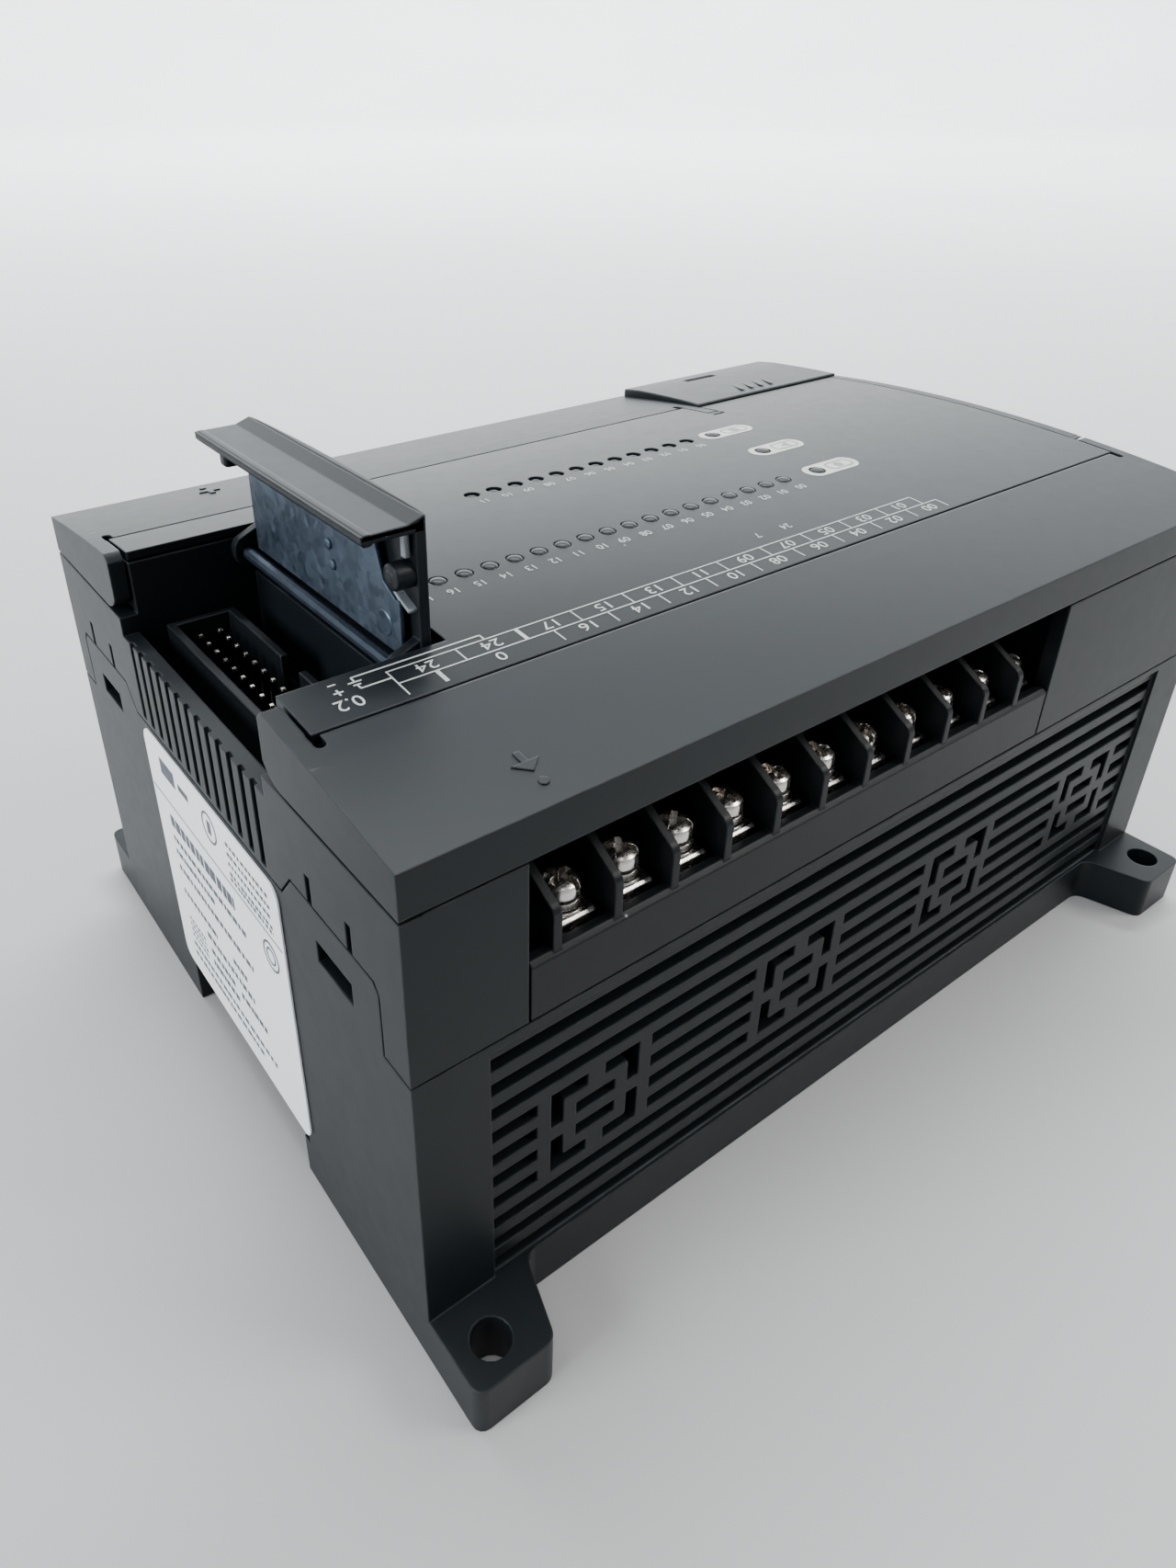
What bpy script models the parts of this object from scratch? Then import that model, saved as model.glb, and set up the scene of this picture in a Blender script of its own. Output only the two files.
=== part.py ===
"""Compact brick-style programmable controller, lying on its back with its face up.

The object's long side runs along X, its short side along Y, and its face looks along +Z.
Places are measured from the left end (X), from the input side (Y) and from the back (Z),
and spot() turns them into scene positions with the origin under the middle of the box.
"""

from math import atan2
from math import cos
from math import pi
from math import radians
from math import sin
from math import sqrt
from math import tan

import bmesh
import bpy
from mathutils import Matrix
from mathutils import Vector

MM = 0.001

# Whole object
LENGTH = 135.0 * MM
DEPTH = 90.0 * MM
WALL = 2.0 * MM
GAP = 0.3 * MM
PAST = 1.0 * MM

# Crowned face
PEAK = 68.6 * MM
CROWN_RADIUS = 288.0 * MM
EDGE_STRIP = 3.8 * MM
EDGE_HEIGHT = 65.1 * MM

# Seam between the two case halves
SEAM = 41.5 * MM
SEAM_OVER_LABEL = 46.7 * MM
LABEL_NEAR = 25.2 * MM
LABEL_FAR = 63.9 * MM
LABEL_LOW = 8.0 * MM
LABEL_HIGH = 46.1 * MM
LABEL_CORNER = 2.0 * MM
SEAM_AT_LATCH = 49.9 * MM

# Rear case
FLOOR = 2.4 * MM
TAB_HEIGHT = 7.0 * MM
TAB_REACH = 8.9 * MM
TAB_WIDTH = 9.4 * MM
TAB_FOOT = 14.0 * MM
TAB_HOLE_RADIUS = 2.2 * MM
TAB_HOLE_X = 4.2 * MM
TAB_HOLE_Y = 5.0 * MM

# Vent grille on both long sides
GRILLE_LEFT = 8.2 * MM
GRILLE_TOP = 40.4 * MM
GRILLE_RECESS = 0.5 * MM
ROWS = 10
ROW_TOP = 38.0 * MM
ROW_PITCH = 3.33 * MM
ROW_HEIGHT = 1.75 * MM
FRET_ROWS = range(3, 7)
FRETS = 4
FRET_PITCH = 30.9 * MM
FRET_SIZE = 11.7 * MM
FRET_ARM = 4.7 * MM
FRET_LINE = 1.6 * MM
FRET_MARGIN = 1.7 * MM
FRET_BAR = 5.2 * MM

# Rail channel and rail latch in the back
RAIL_NEAR = 28.0 * MM
RAIL_FAR = 62.2 * MM
RAIL_DEPTH = 7.6 * MM
RAIL_GROOVE = 1.4 * MM
RAIL_LIP = 6.2 * MM
RELIEF = 0.2 * MM
LATCH_WIDTH = 22.0 * MM

# Snap latches between the case halves
LATCH_CENTRE = 13.4 * MM
TONGUE_WIDTH = 7.8 * MM
TONGUE_SLOT = 1.0 * MM
TONGUE_TOP = 53.3 * MM

# Front case, terminal bays and covers
BAY_DEPTH = 18.0 * MM
RIM = 60.1 * MM
WINDOW_LEFT = 12.5 * MM
WINDOW_RIGHT = 94.5 * MM
DECK_DROP = 1.3 * MM
DECK_UNDER = 64.2 * MM
COVER_DEPTH = 17.6 * MM
COVER_THICK = 1.7 * MM
COVER_BEVEL = 0.9 * MM
COVER_HINGE_Y = 20.8 * MM
COVER_HINGE_Z = 64.4 * MM
COVER_ARM = 1.9 * MM
COVER_ARM_RADIUS = 4.0 * MM
COVER_ARM_SWING = 4.2 * MM
HINGE_PIN_RADIUS = 1.0 * MM
OUTPUT_COVER_END = 99.8 * MM

# Communication corner
COMM_LEFT = 100.2 * MM
COMM_NEAR = 71.2 * MM
COMM_RAISE = 1.2 * MM
COMM_FLOOR = 54.0 * MM
SOCKET_X = 110.5 * MM
SWITCH_X = 124.0 * MM
COMM_MIDDLE = 79.6 * MM

# Expansion port and its door
PORT_NEAR = 25.2 * MM
PORT_FAR = 65.2 * MM
PORT_RIGHT = 17.6 * MM
PORT_SILL = 57.6 * MM
PORT_FLOOR = 49.4 * MM
DOOR_HINGE_X = 16.3 * MM
DOOR_HINGE_Z = 65.0 * MM
DOOR_THICK = 1.1 * MM
DOOR_FLANGE = 6.9 * MM
DOOR_ROD_RADIUS = 0.8 * MM
DOOR_POCKET = 20.6 * MM

# Expansion header
HEADER_LEFT = 5.0 * MM
HEADER_WIDTH = 8.7 * MM
HEADER_MIDDLE = 46.2 * MM
HEADER_LENGTH = 36.0 * MM
HEADER_TOP = 58.2 * MM
PIN_PITCH = 2.54 * MM
PIN_SIDE = 0.64 * MM
PINS_IN_ROW = 13
PIN_TIP = 57.0 * MM

# Face panel with its lamps
PANEL_EDGE = 2.3 * MM
PANEL_NEAR = 18.2 * MM
PANEL_THICK = 1.0 * MM
LAMP_RADIUS = 1.1 * MM
INPUT_LAMPS = 18
INPUT_LAMP_PITCH = 3.45 * MM
INPUT_LAMP_END = 82.0 * MM
INPUT_LAMP_Y = 36.2 * MM
OUTPUT_LAMPS = 12
OUTPUT_LAMP_PITCH = 3.5 * MM
OUTPUT_LAMP_END = 83.3 * MM
OUTPUT_LAMP_Y = 56.4 * MM
STATUS_LAMP_X = 88.6 * MM
STATUS_LAMP_YS = (36.0 * MM, 46.1 * MM, 56.3 * MM)

# Terminal blocks
TERMINALS = 11
TERMINAL_PITCH = 7.15 * MM
FIRST_DIVIDER = 15.95 * MM
DIVIDER = 1.0 * MM
LOWER_FLOOR = 46.6 * MM
UPPER_FLOOR = 53.0 * MM
LOWER_ROW_Y = 4.7 * MM

# Side vents beside the expansion port
SIDE_VENTS = 13
SIDE_VENT_FIRST = 28.0 * MM
SIDE_VENT_PITCH = 2.87 * MM
SIDE_VENT_WIDTH = 1.2 * MM
SIDE_VENT_LOW = 47.4 * MM
SIDE_VENT_HIGH = 57.2 * MM

# Boards
MAIN_BOARD = 38.4 * MM
POWER_BOARD = 12.0 * MM
BOARD_THICK = 1.6 * MM

ROUND = 10


def clear_scene():
    for item in list(bpy.data.objects):
        bpy.data.objects.remove(item, do_unlink=True)


def make_collection(name):
    group = bpy.data.collections.new(name)
    bpy.context.scene.collection.children.link(group)
    return group


clear_scene()
PARTS = make_collection("plc_module")
CUTTERS = make_collection("cutters")


def make_material(name, colour, roughness, metallic=0.0):
    material = bpy.data.materials.new(name)
    material.use_nodes = True
    shader = material.node_tree.nodes["Principled BSDF"]
    shader.inputs["Base Color"].default_value = (*colour, 1.0)
    shader.inputs["Roughness"].default_value = roughness
    shader.inputs["Metallic"].default_value = metallic
    return material


CASE_PLASTIC = make_material("case_plastic", (0.028, 0.032, 0.037), 0.45)
PANEL_PLASTIC = make_material("panel_plastic", (0.022, 0.025, 0.030), 0.38)
BLOCK_PLASTIC = make_material("block_plastic", (0.018, 0.019, 0.021), 0.5)
PLATED_STEEL = make_material("plated_steel", (0.72, 0.70, 0.66), 0.25, 1.0)
DOOR_STEEL = make_material("door_steel", (0.30, 0.36, 0.42), 0.4, 0.8)
GOLD_PLATE = make_material("gold_plate", (0.85, 0.65, 0.30), 0.25, 1.0)
BOARD_GREEN = make_material("board_green", (0.02, 0.12, 0.05), 0.4)
LAMP_CLEAR = make_material("lamp_clear", (0.62, 0.64, 0.62), 0.2)
LABEL_WHITE = make_material("label_white", (0.80, 0.82, 0.84), 0.45)
RELAY_BLUE = make_material("relay_blue", (0.02, 0.08, 0.25), 0.35)
CORE_GREY = make_material("core_grey", (0.08, 0.08, 0.09), 0.6)
ALUMINIUM = make_material("aluminium", (0.60, 0.61, 0.63), 0.4, 1.0)
FUSE_CERAMIC = make_material("fuse_ceramic", (0.75, 0.74, 0.70), 0.4)


# ---------------------------------------------------------------- shape helpers

def spot(x, y, z):
    """Scene position of a place measured from the left end, the input side and the back."""
    return Vector((x - LENGTH / 2, y - DEPTH / 2, z))


def crown(y):
    """Height of the face at a distance y from the input side."""
    from_edge = min(y, DEPTH - y)
    inner = min(max(y, EDGE_STRIP), DEPTH - EDGE_STRIP)
    drop = CROWN_RADIUS - sqrt(CROWN_RADIUS ** 2 - (inner - DEPTH / 2) ** 2)
    height = PEAK - drop
    if from_edge >= EDGE_STRIP:
        return height
    return EDGE_HEIGHT + (height - EDGE_HEIGHT) * from_edge / EDGE_STRIP


def spread(low, high, count):
    """count + 1 even steps from low to high."""
    return [low + (high - low) * step / count for step in range(count + 1)]


def crown_run(low, high, count, drop=0.0):
    return [(y, crown(y) - drop) for y in spread(low, high, count)]


def fillet(corners, steps=4):
    """Outline through (u, v, radius) corners, each rounded by its own radius."""
    points = []
    for index, (u, v, radius) in enumerate(corners):
        here = Vector((u, v))
        if radius == 0:
            points.append((u, v))
            continue
        following = corners[(index + 1) % len(corners)]
        to_last = (Vector(corners[index - 1][:2]) - here).normalized()
        to_next = (Vector(following[:2]) - here).normalized()
        half = to_last.angle(to_next) / 2
        centre = here + (to_last + to_next).normalized() * (radius / sin(half))
        first = here + to_last * (radius / tan(half)) - centre
        final = here + to_next * (radius / tan(half)) - centre
        start = atan2(first.y, first.x)
        sweep = (atan2(final.y, final.x) - start + pi) % (2 * pi) - pi
        for step in range(steps + 1):
            angle = start + sweep * step / steps
            points.append((centre.x + radius * cos(angle), centre.y + radius * sin(angle)))
    return points


def add_object(name, mesh, material=None):
    """Put a mesh into the scene: a part when it has a material, otherwise a cutter."""
    item = bpy.data.objects.new(name, mesh)
    if material:
        PARTS.objects.link(item)
        mesh.materials.clear()
        mesh.materials.append(material)
        return item
    CUTTERS.objects.link(item)
    item.hide_render = True
    item.display_type = "WIRE"
    return item


def box(name, xs, ys, zs, material=None):
    """Block between pairs of places along X, Y and Z."""
    low = spot(xs[0], ys[0], zs[0])
    high = spot(xs[1], ys[1], zs[1])
    shape = bmesh.new()
    bmesh.ops.create_cube(shape, size=1.0)
    bmesh.ops.scale(shape, vec=high - low, verts=shape.verts)
    bmesh.ops.translate(shape, vec=(low + high) / 2, verts=shape.verts)
    mesh = bpy.data.meshes.new(name)
    shape.to_mesh(mesh)
    shape.free()
    return add_object(name, mesh, material)


PLANES = {
    "X": Matrix(((0, 0, 1, 0), (1, 0, 0, 0), (0, 1, 0, 0), (0, 0, 0, 1))),
    "Y": Matrix(((1, 0, 0, 0), (0, 0, -1, 0), (0, 1, 0, 0), (0, 0, 0, 1))),
    "Z": Matrix.Identity(4),
}


def prism(name, outline, axis, low, high, material=None):
    """Flat outline in the plane across an axis, drawn out between two places on that axis."""
    curve = bpy.data.curves.new(name + "_outline", "CURVE")
    curve.dimensions = "2D"
    curve.fill_mode = "BOTH"
    curve.extrude = (high - low) / 2
    spline = curve.splines.new("POLY")
    spline.points.add(len(outline) - 1)
    for point, (u, v) in zip(spline.points, outline):
        point.co = (u, v, 0.0, 1.0)
    spline.use_cyclic_u = True
    sketch = bpy.data.objects.new(name + "_sketch", curve)
    CUTTERS.objects.link(sketch)
    evaluated = sketch.evaluated_get(bpy.context.evaluated_depsgraph_get())
    mesh = bpy.data.meshes.new_from_object(evaluated)
    bpy.data.objects.remove(sketch, do_unlink=True)
    middle = (low + high) / 2
    turn = PLANES[axis]
    side = -1 if axis == "Y" else 1
    place = Matrix.Translation(spot(0, 0, 0)) @ turn @ Matrix.Translation((0, 0, side * middle))
    shape = bmesh.new()
    shape.from_mesh(mesh)
    bmesh.ops.remove_doubles(shape, verts=shape.verts, dist=0.00001)
    bmesh.ops.transform(shape, matrix=place, verts=shape.verts)
    bmesh.ops.recalc_face_normals(shape, faces=shape.faces)
    shape.to_mesh(mesh)
    shape.free()
    return add_object(name, mesh, material)


def cylinder(name, centre, radius, length, axis="Z", material=None, sides=ROUND):
    """Round bar about a centre."""
    turn = {"X": Matrix.Rotation(pi / 2, 4, "Y"), "Y": Matrix.Rotation(pi / 2, 4, "X"), "Z": Matrix()}
    shape = bmesh.new()
    bmesh.ops.create_cone(shape, cap_ends=True, segments=sides, radius1=radius, radius2=radius, depth=length)
    place = Matrix.Translation(spot(*centre)) @ turn[axis]
    bmesh.ops.transform(shape, matrix=place, verts=shape.verts)
    mesh = bpy.data.meshes.new(name)
    shape.to_mesh(mesh)
    shape.free()
    return add_object(name, mesh, material)


def turned(name, profile, place, material, steps=ROUND):
    """Turned piece: a profile of (radius, height) pairs, top to bottom, with a Screw modifier."""
    mesh = bpy.data.meshes.new(name)
    edges = [(index, index + 1) for index in range(len(profile) - 1)]
    mesh.from_pydata([(radius, 0.0, height) for radius, height in profile], edges, [])
    item = add_object(name, mesh, material)
    item.location = place
    screw = item.modifiers.new("turn", "SCREW")
    screw.steps = steps
    screw.render_steps = steps
    screw.use_merge_vertices = True
    screw.merge_threshold = 0.00001
    return item


def combine(item, tools, operation, name):
    """Cut tools from an item, or weld them to it, as one group."""
    group = bpy.data.collections.new(item.name + "_" + name)
    CUTTERS.children.link(group)
    for tool in tools:
        CUTTERS.objects.unlink(tool)
        group.objects.link(tool)
    modifier = item.modifiers.new(name, "BOOLEAN")
    modifier.operation = operation
    modifier.operand_type = "COLLECTION"
    modifier.collection = group
    modifier.solver = "EXACT"
    return item


def cut(item, tools, name="cuts"):
    return combine(item, tools, "DIFFERENCE", name)


def weld(item, tools, name="adds"):
    return combine(item, tools, "UNION", name)


def mirror_y(ys):
    """The same stretch, measured from the output side."""
    return (DEPTH - ys[1], DEPTH - ys[0])


def flip(outline):
    """A Y-Z outline as seen from the output side."""
    return [(DEPTH - y, z) for y, z in outline]


# ---------------------------------------------------------------- rear case

def tab_outline():
    """One mounting tab, seen from above, at the left end of the input side."""
    return fillet([
        (0.0, 3 * MM, 0),
        (0.0, -TAB_REACH, 1.3 * MM),
        (TAB_WIDTH, -TAB_REACH, 1.5 * MM),
        (TAB_FOOT - 1.8 * MM, 0.0, 2.0 * MM),
        (TAB_FOOT + 1 * MM, 0.0, 0),
        (TAB_FOOT + 1 * MM, 3 * MM, 0),
    ])


def mounting_tabs():
    tabs = []
    holes = []
    for end in (0, 1):
        for side in (0, 1):
            outline = []
            for x, y in tab_outline():
                outline.append((LENGTH - x if end else x, DEPTH - y if side else y))
            tabs.append(prism("tab", outline, "Z", 0.0, TAB_HEIGHT))
            x = LENGTH - TAB_HOLE_X if end else TAB_HOLE_X
            y = DEPTH + TAB_HOLE_Y if side else -TAB_HOLE_Y
            holes.append(cylinder("tab_hole", (x, y, TAB_HEIGHT / 2), TAB_HOLE_RADIUS, 12 * MM, sides=16))
    return tabs, holes


def latch_wall_outline():
    """Stretch of the end walls that rises over the seam, under the label and at the two latches."""
    near = [
        (4.7 * MM, SEAM - 2 * MM),
        (4.7 * MM, SEAM_AT_LATCH - 1.1 * MM),
        (5.6 * MM, SEAM_AT_LATCH - 0.15 * MM),
        (21.5 * MM, SEAM_AT_LATCH - 0.15 * MM),
        (24.1 * MM, SEAM_OVER_LABEL - 0.15 * MM),
    ]
    return near + flip(near)[::-1]


def grille_rows():
    """Left and right ends and the height of every slot that isn't part of a fret."""
    right = LENGTH - GRILLE_LEFT
    centres = fret_centres()
    for row in range(ROWS):
        height = ROW_TOP - row * ROW_PITCH
        if row not in FRET_ROWS:
            yield GRILLE_LEFT + GAP, right - GAP, height
            continue
        start = GRILLE_LEFT + GAP
        for centre in centres:
            yield start, centre - FRET_SIZE / 2 - FRET_MARGIN, height
            start = centre + FRET_SIZE / 2 + FRET_MARGIN
        yield start, right - GAP, height


def fret_centres():
    middle = LENGTH / 2 + 0.4 * MM
    return [middle + (index - (FRETS - 1) / 2) * FRET_PITCH for index in range(FRETS)]


def fret_bracket(centre, side, end):
    """One L-shaped corner of a fret, seen from the front."""
    tall = (len(FRET_ROWS) - 1) * ROW_PITCH + ROW_HEIGHT
    middle = ROW_TOP - (FRET_ROWS[0] + FRET_ROWS[-1]) / 2 * ROW_PITCH
    corner = (FRET_SIZE / 2, tall / 2)
    leg = tall / 2 - 0.9 * MM
    shape = [
        corner,
        (corner[0] - FRET_ARM, corner[1]),
        (corner[0] - FRET_ARM, corner[1] - ROW_HEIGHT),
        (corner[0] - FRET_LINE - 0.2 * MM, corner[1] - ROW_HEIGHT),
        (corner[0] - FRET_LINE, corner[1] - ROW_HEIGHT - 0.2 * MM),
        (corner[0] - FRET_LINE, corner[1] - leg),
        (corner[0], corner[1] - leg),
    ]
    return [(centre + side * u, middle + end * v) for u, v in shape]


def grille_slots():
    """Cutters for the slots of both long sides."""
    slots = []
    for ys in ((-PAST, WALL + PAST / 2), (DEPTH - WALL - PAST / 2, DEPTH + PAST)):
        for left, right, height in grille_rows():
            zs = (height - ROW_HEIGHT / 2, height + ROW_HEIGHT / 2)
            slots.append(box("grille_slot", (left, right), ys, zs))
        for centre in fret_centres():
            for side in (-1, 1):
                for end in (-1, 1):
                    slots.append(prism("fret_corner", fret_bracket(centre, side, end), "Y", *ys))
            for row in FRET_ROWS[1:3]:
                height = ROW_TOP - row * ROW_PITCH
                zs = (height - ROW_HEIGHT / 2, height + ROW_HEIGHT / 2)
                slots.append(box("fret_bar", (centre - FRET_BAR / 2, centre + FRET_BAR / 2), ys, zs))
    return slots


def latch_windows():
    windows = []
    for xs in ((-PAST, WALL + PAST), (LENGTH - WALL - PAST, LENGTH + PAST)):
        for middle in (LATCH_CENTRE, DEPTH - LATCH_CENTRE):
            ys = (middle - 3.5 * MM, middle + 3.5 * MM)
            windows.append(box("latch_window", xs, ys, (43.0 * MM, 45.8 * MM)))
    return windows


def board_posts():
    posts = []
    for x in (8 * MM, LENGTH - 8 * MM):
        for y in (8 * MM, DEPTH - 8 * MM):
            length = MAIN_BOARD - GAP - FLOOR / 2
            centre = (x, y, FLOOR / 2 + length / 2)
            posts.append(cylinder("main_post", centre, 3 * MM, length))
    for x in (20 * MM, LENGTH - 20 * MM):
        for y in (19 * MM, DEPTH - 19 * MM):
            length = POWER_BOARD - GAP - FLOOR / 2
            centre = (x, y, FLOOR / 2 + length / 2)
            posts.append(cylinder("power_post", centre, 2.5 * MM, length))
    return posts


def rear_case():
    case = box("rear_case", (0, LENGTH), (0, DEPTH), (0, SEAM - 0.15 * MM), CASE_PLASTIC)
    tabs, holes = mounting_tabs()
    walls = []
    for low in (0, LENGTH - WALL):
        walls.append(prism("latch_wall", latch_wall_outline(), "X", low, low + WALL))
    weld(case, tabs + walls)
    inside = (WALL, LENGTH - WALL)
    ledge = RAIL_DEPTH + WALL
    latch = (LENGTH / 2 - LATCH_WIDTH / 2 - 2.5 * MM, LENGTH / 2 + LATCH_WIDTH / 2 + 2.5 * MM)
    far_pocket = (RAIL_FAR + 1.8 * MM, DEPTH - WALL)
    hollow = [
        box("main_hollow", inside, (WALL, DEPTH - WALL), (ledge, 60 * MM)),
        box("near_hollow", inside, (WALL, RAIL_NEAR - 4 * MM), (FLOOR, ledge + PAST)),
        box("far_left_hollow", (WALL, latch[0]), far_pocket, (FLOOR, ledge + PAST)),
        box("far_right_hollow", (latch[1], LENGTH - WALL), far_pocket, (FLOOR, ledge + PAST)),
    ]
    cut(case, hollow, "hollow")
    weld(case, board_posts(), "posts")
    through = (-PAST, LENGTH + PAST)
    latch_room = (LENGTH / 2 - LATCH_WIDTH / 2 - GAP, LENGTH / 2 + LATCH_WIDTH / 2 + GAP)
    inset = (GRILLE_LEFT, LENGTH - GRILLE_LEFT)
    openings = [
        box("rail_channel", through, (RAIL_NEAR, RAIL_FAR), (-PAST, RAIL_DEPTH)),
        box("rail_groove", through, (RAIL_NEAR - RAIL_GROOVE, RAIL_NEAR + PAST), (RAIL_LIP, RAIL_DEPTH - RELIEF)),
        box("latch_relief", latch_room, (RAIL_FAR - 2.2 * MM, RAIL_FAR), (RAIL_DEPTH - PAST, RAIL_DEPTH + RELIEF)),
        box("latch_room", latch_room, (RAIL_FAR - PAST, DEPTH + PAST), (-PAST, RAIL_LIP)),
        box("near_inset", inset, (-PAST, GRILLE_RECESS), (TAB_HEIGHT, GRILLE_TOP)),
        box("far_inset", inset, (DEPTH - GRILLE_RECESS, DEPTH + PAST), (TAB_HEIGHT, GRILLE_TOP)),
    ]
    cut(case, openings + holes + latch_windows(), "openings")
    cut(case, grille_slots(), "grille")
    return case


def rating_label():
    """Blank label set into the left end wall."""
    outline = fillet([
        (LABEL_NEAR, LABEL_LOW, LABEL_CORNER),
        (LABEL_FAR, LABEL_LOW, LABEL_CORNER),
        (LABEL_FAR, LABEL_HIGH, LABEL_CORNER),
        (LABEL_NEAR, LABEL_HIGH, LABEL_CORNER),
    ])
    return prism("rating_label", outline, "X", -0.45 * MM, -0.3 * MM, LABEL_WHITE)


def rail_latch():
    """Sliding latch that holds the rail, with a slot for a screwdriver blade."""
    xs = (LENGTH / 2 - LATCH_WIDTH / 2, LENGTH / 2 + LATCH_WIDTH / 2)
    latch = prism("rail_latch", [
        (RAIL_FAR - 1.9 * MM, 4.9 * MM),
        (RAIL_FAR - 1.9 * MM, 5.8 * MM),
        (DEPTH + 0.8 * MM, 5.8 * MM),
        (DEPTH + 0.8 * MM, 0.6 * MM),
        (RAIL_FAR + 0.6 * MM, 0.6 * MM),
    ], "X", *xs, CASE_PLASTIC)
    blade_slot = (LENGTH / 2 - 5 * MM, LENGTH / 2 + 5 * MM)
    slot = box("blade_slot", blade_slot, (DEPTH - 5 * MM, DEPTH - 2 * MM), (-PAST, 8 * MM))
    return cut(latch, [slot])


# ---------------------------------------------------------------- front case

def seam_notch():
    """Y-Z outline of what the rear case's raised end wall takes out of the front case."""
    clear = 0.3 * MM
    near = [
        (4.7 * MM - clear, SEAM - 2 * MM),
        (4.7 * MM - clear, SEAM_AT_LATCH - 1.1 * MM),
        (5.5 * MM - clear, SEAM_AT_LATCH + 0.15 * MM),
        (21.6 * MM, SEAM_AT_LATCH + 0.15 * MM),
        (24.2 * MM, SEAM_OVER_LABEL + 0.15 * MM),
    ]
    return near + flip(near)[::-1]


def snap_tongues():
    """Hooks that reach down behind the latch windows."""
    tongues = []
    for end in (0, 1):
        for middle in (LATCH_CENTRE, DEPTH - LATCH_CENTRE):
            profile = [
                (1.2 * MM, 43.3 * MM),
                (1.2 * MM, 44.2 * MM),
                (2.4 * MM, 45.4 * MM),
                (2.4 * MM, 50.4 * MM),
                (1.6 * MM, 50.6 * MM),
                (1.6 * MM, 52.6 * MM),
                (3.6 * MM, 52.6 * MM),
                (3.6 * MM, 43.3 * MM),
            ]
            outline = [(LENGTH - x if end else x, z) for x, z in profile]
            ys = (middle - 3.1 * MM, middle + 3.1 * MM)
            tongues.append(prism("snap_tongue", outline, "Y", *ys))
    return tongues


def tongue_slots():
    slots = []
    for xs in ((-PAST, WALL + PAST), (LENGTH - WALL - PAST, LENGTH + PAST)):
        for middle in (LATCH_CENTRE, DEPTH - LATCH_CENTRE):
            for side in (-1, 1):
                centre = middle + side * TONGUE_WIDTH / 2
                ys = (centre - TONGUE_SLOT / 2, centre + TONGUE_SLOT / 2)
                slots.append(box("tongue_slot", xs, ys, (SEAM_AT_LATCH - PAST, TONGUE_TOP)))
    return slots


def side_vents():
    """Upright slots beside the expansion port, and through slots at the other end."""
    slots = []
    for index in range(SIDE_VENTS):
        centre = SIDE_VENT_FIRST + index * SIDE_VENT_PITCH
        ys = (centre - SIDE_VENT_WIDTH / 2, centre + SIDE_VENT_WIDTH / 2)
        slots.append(box("port_vent", (-PAST, 1.2 * MM), ys, (SIDE_VENT_LOW, PORT_SILL - 0.9 * MM)))
        slots.append(box("port_vent_top", (-PAST, 0.45 * MM), ys, (SIDE_VENT_HIGH - PAST, PORT_SILL + PAST)))
        slots.append(box("end_vent", (LENGTH - WALL - PAST, LENGTH + PAST), ys, (SIDE_VENT_LOW, SIDE_VENT_HIGH)))
    return slots


def arm_places():
    """Outer and inner end along X, and the side, of each arm that carries a terminal cover."""
    return [
        (0.0, 1, 0),
        (LENGTH, -1, 0),
        (0.0, 1, 1),
        (OUTPUT_COVER_END, -1, 1),
    ]


def arm_room_outline(beside_port):
    """Y-Z outline of the room one cover arm swings in. Beside the port it runs into the port."""
    low = COVER_HINGE_Z - COVER_ARM_RADIUS - GAP - 0.1 * MM
    top = 75 * MM
    if beside_port:
        end = PORT_NEAR + PAST
        return [(-PAST, low), (end, low), (end, top), (-PAST, top)]
    reach = COVER_ARM_SWING + GAP + 0.1 * MM
    curve = []
    for step in range(9):
        angle = radians(-73 + (36.5 + 73) * step / 8)
        curve.append((COVER_HINGE_Y + reach * cos(angle), COVER_HINGE_Z + reach * sin(angle)))
    return [(-PAST, low)] + curve + [(curve[-1][0], top), (-PAST, top)]


def arm_rooms():
    rooms = []
    for start, inward, side in arm_places():
        outline = arm_room_outline(start == 0.0)
        if side:
            outline = flip(outline)
        outer = GAP if start == OUTPUT_COVER_END else PAST
        ends = sorted((start - inward * outer, start + inward * (COVER_ARM + GAP)))
        rooms.append(prism("arm_room", outline, "X", *ends))
    return rooms


def hinge_ears():
    """Solid ears under the deck, with holes for the hinge pins of the two terminal covers."""
    ears = []
    holes = []
    for start, inward, side in arm_places():
        xs = sorted((start + inward * (COVER_ARM + GAP), start + inward * (COVER_ARM + 2.1 * MM)))
        ys = (BAY_DEPTH + 0.5 * MM, PORT_NEAR - 0.6 * MM)
        ears.append(box("hinge_ear", xs, mirror_y(ys) if side else ys, (RIM, DECK_UNDER + 0.8 * MM)))
        y = DEPTH - COVER_HINGE_Y if side else COVER_HINGE_Y
        centre = (start + inward * (COVER_ARM + GAP + 1 * MM), y, COVER_HINGE_Z)
        holes.append(cylinder("ear_hole", centre, HINGE_PIN_RADIUS + 0.2 * MM, 3 * MM, "X"))
    return ears, holes


def front_outline():
    top = crown_run(0.0, DEPTH, 24)
    return [(0.0, SEAM + 0.15 * MM)] + top + [(DEPTH, SEAM + 0.15 * MM)]


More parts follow.
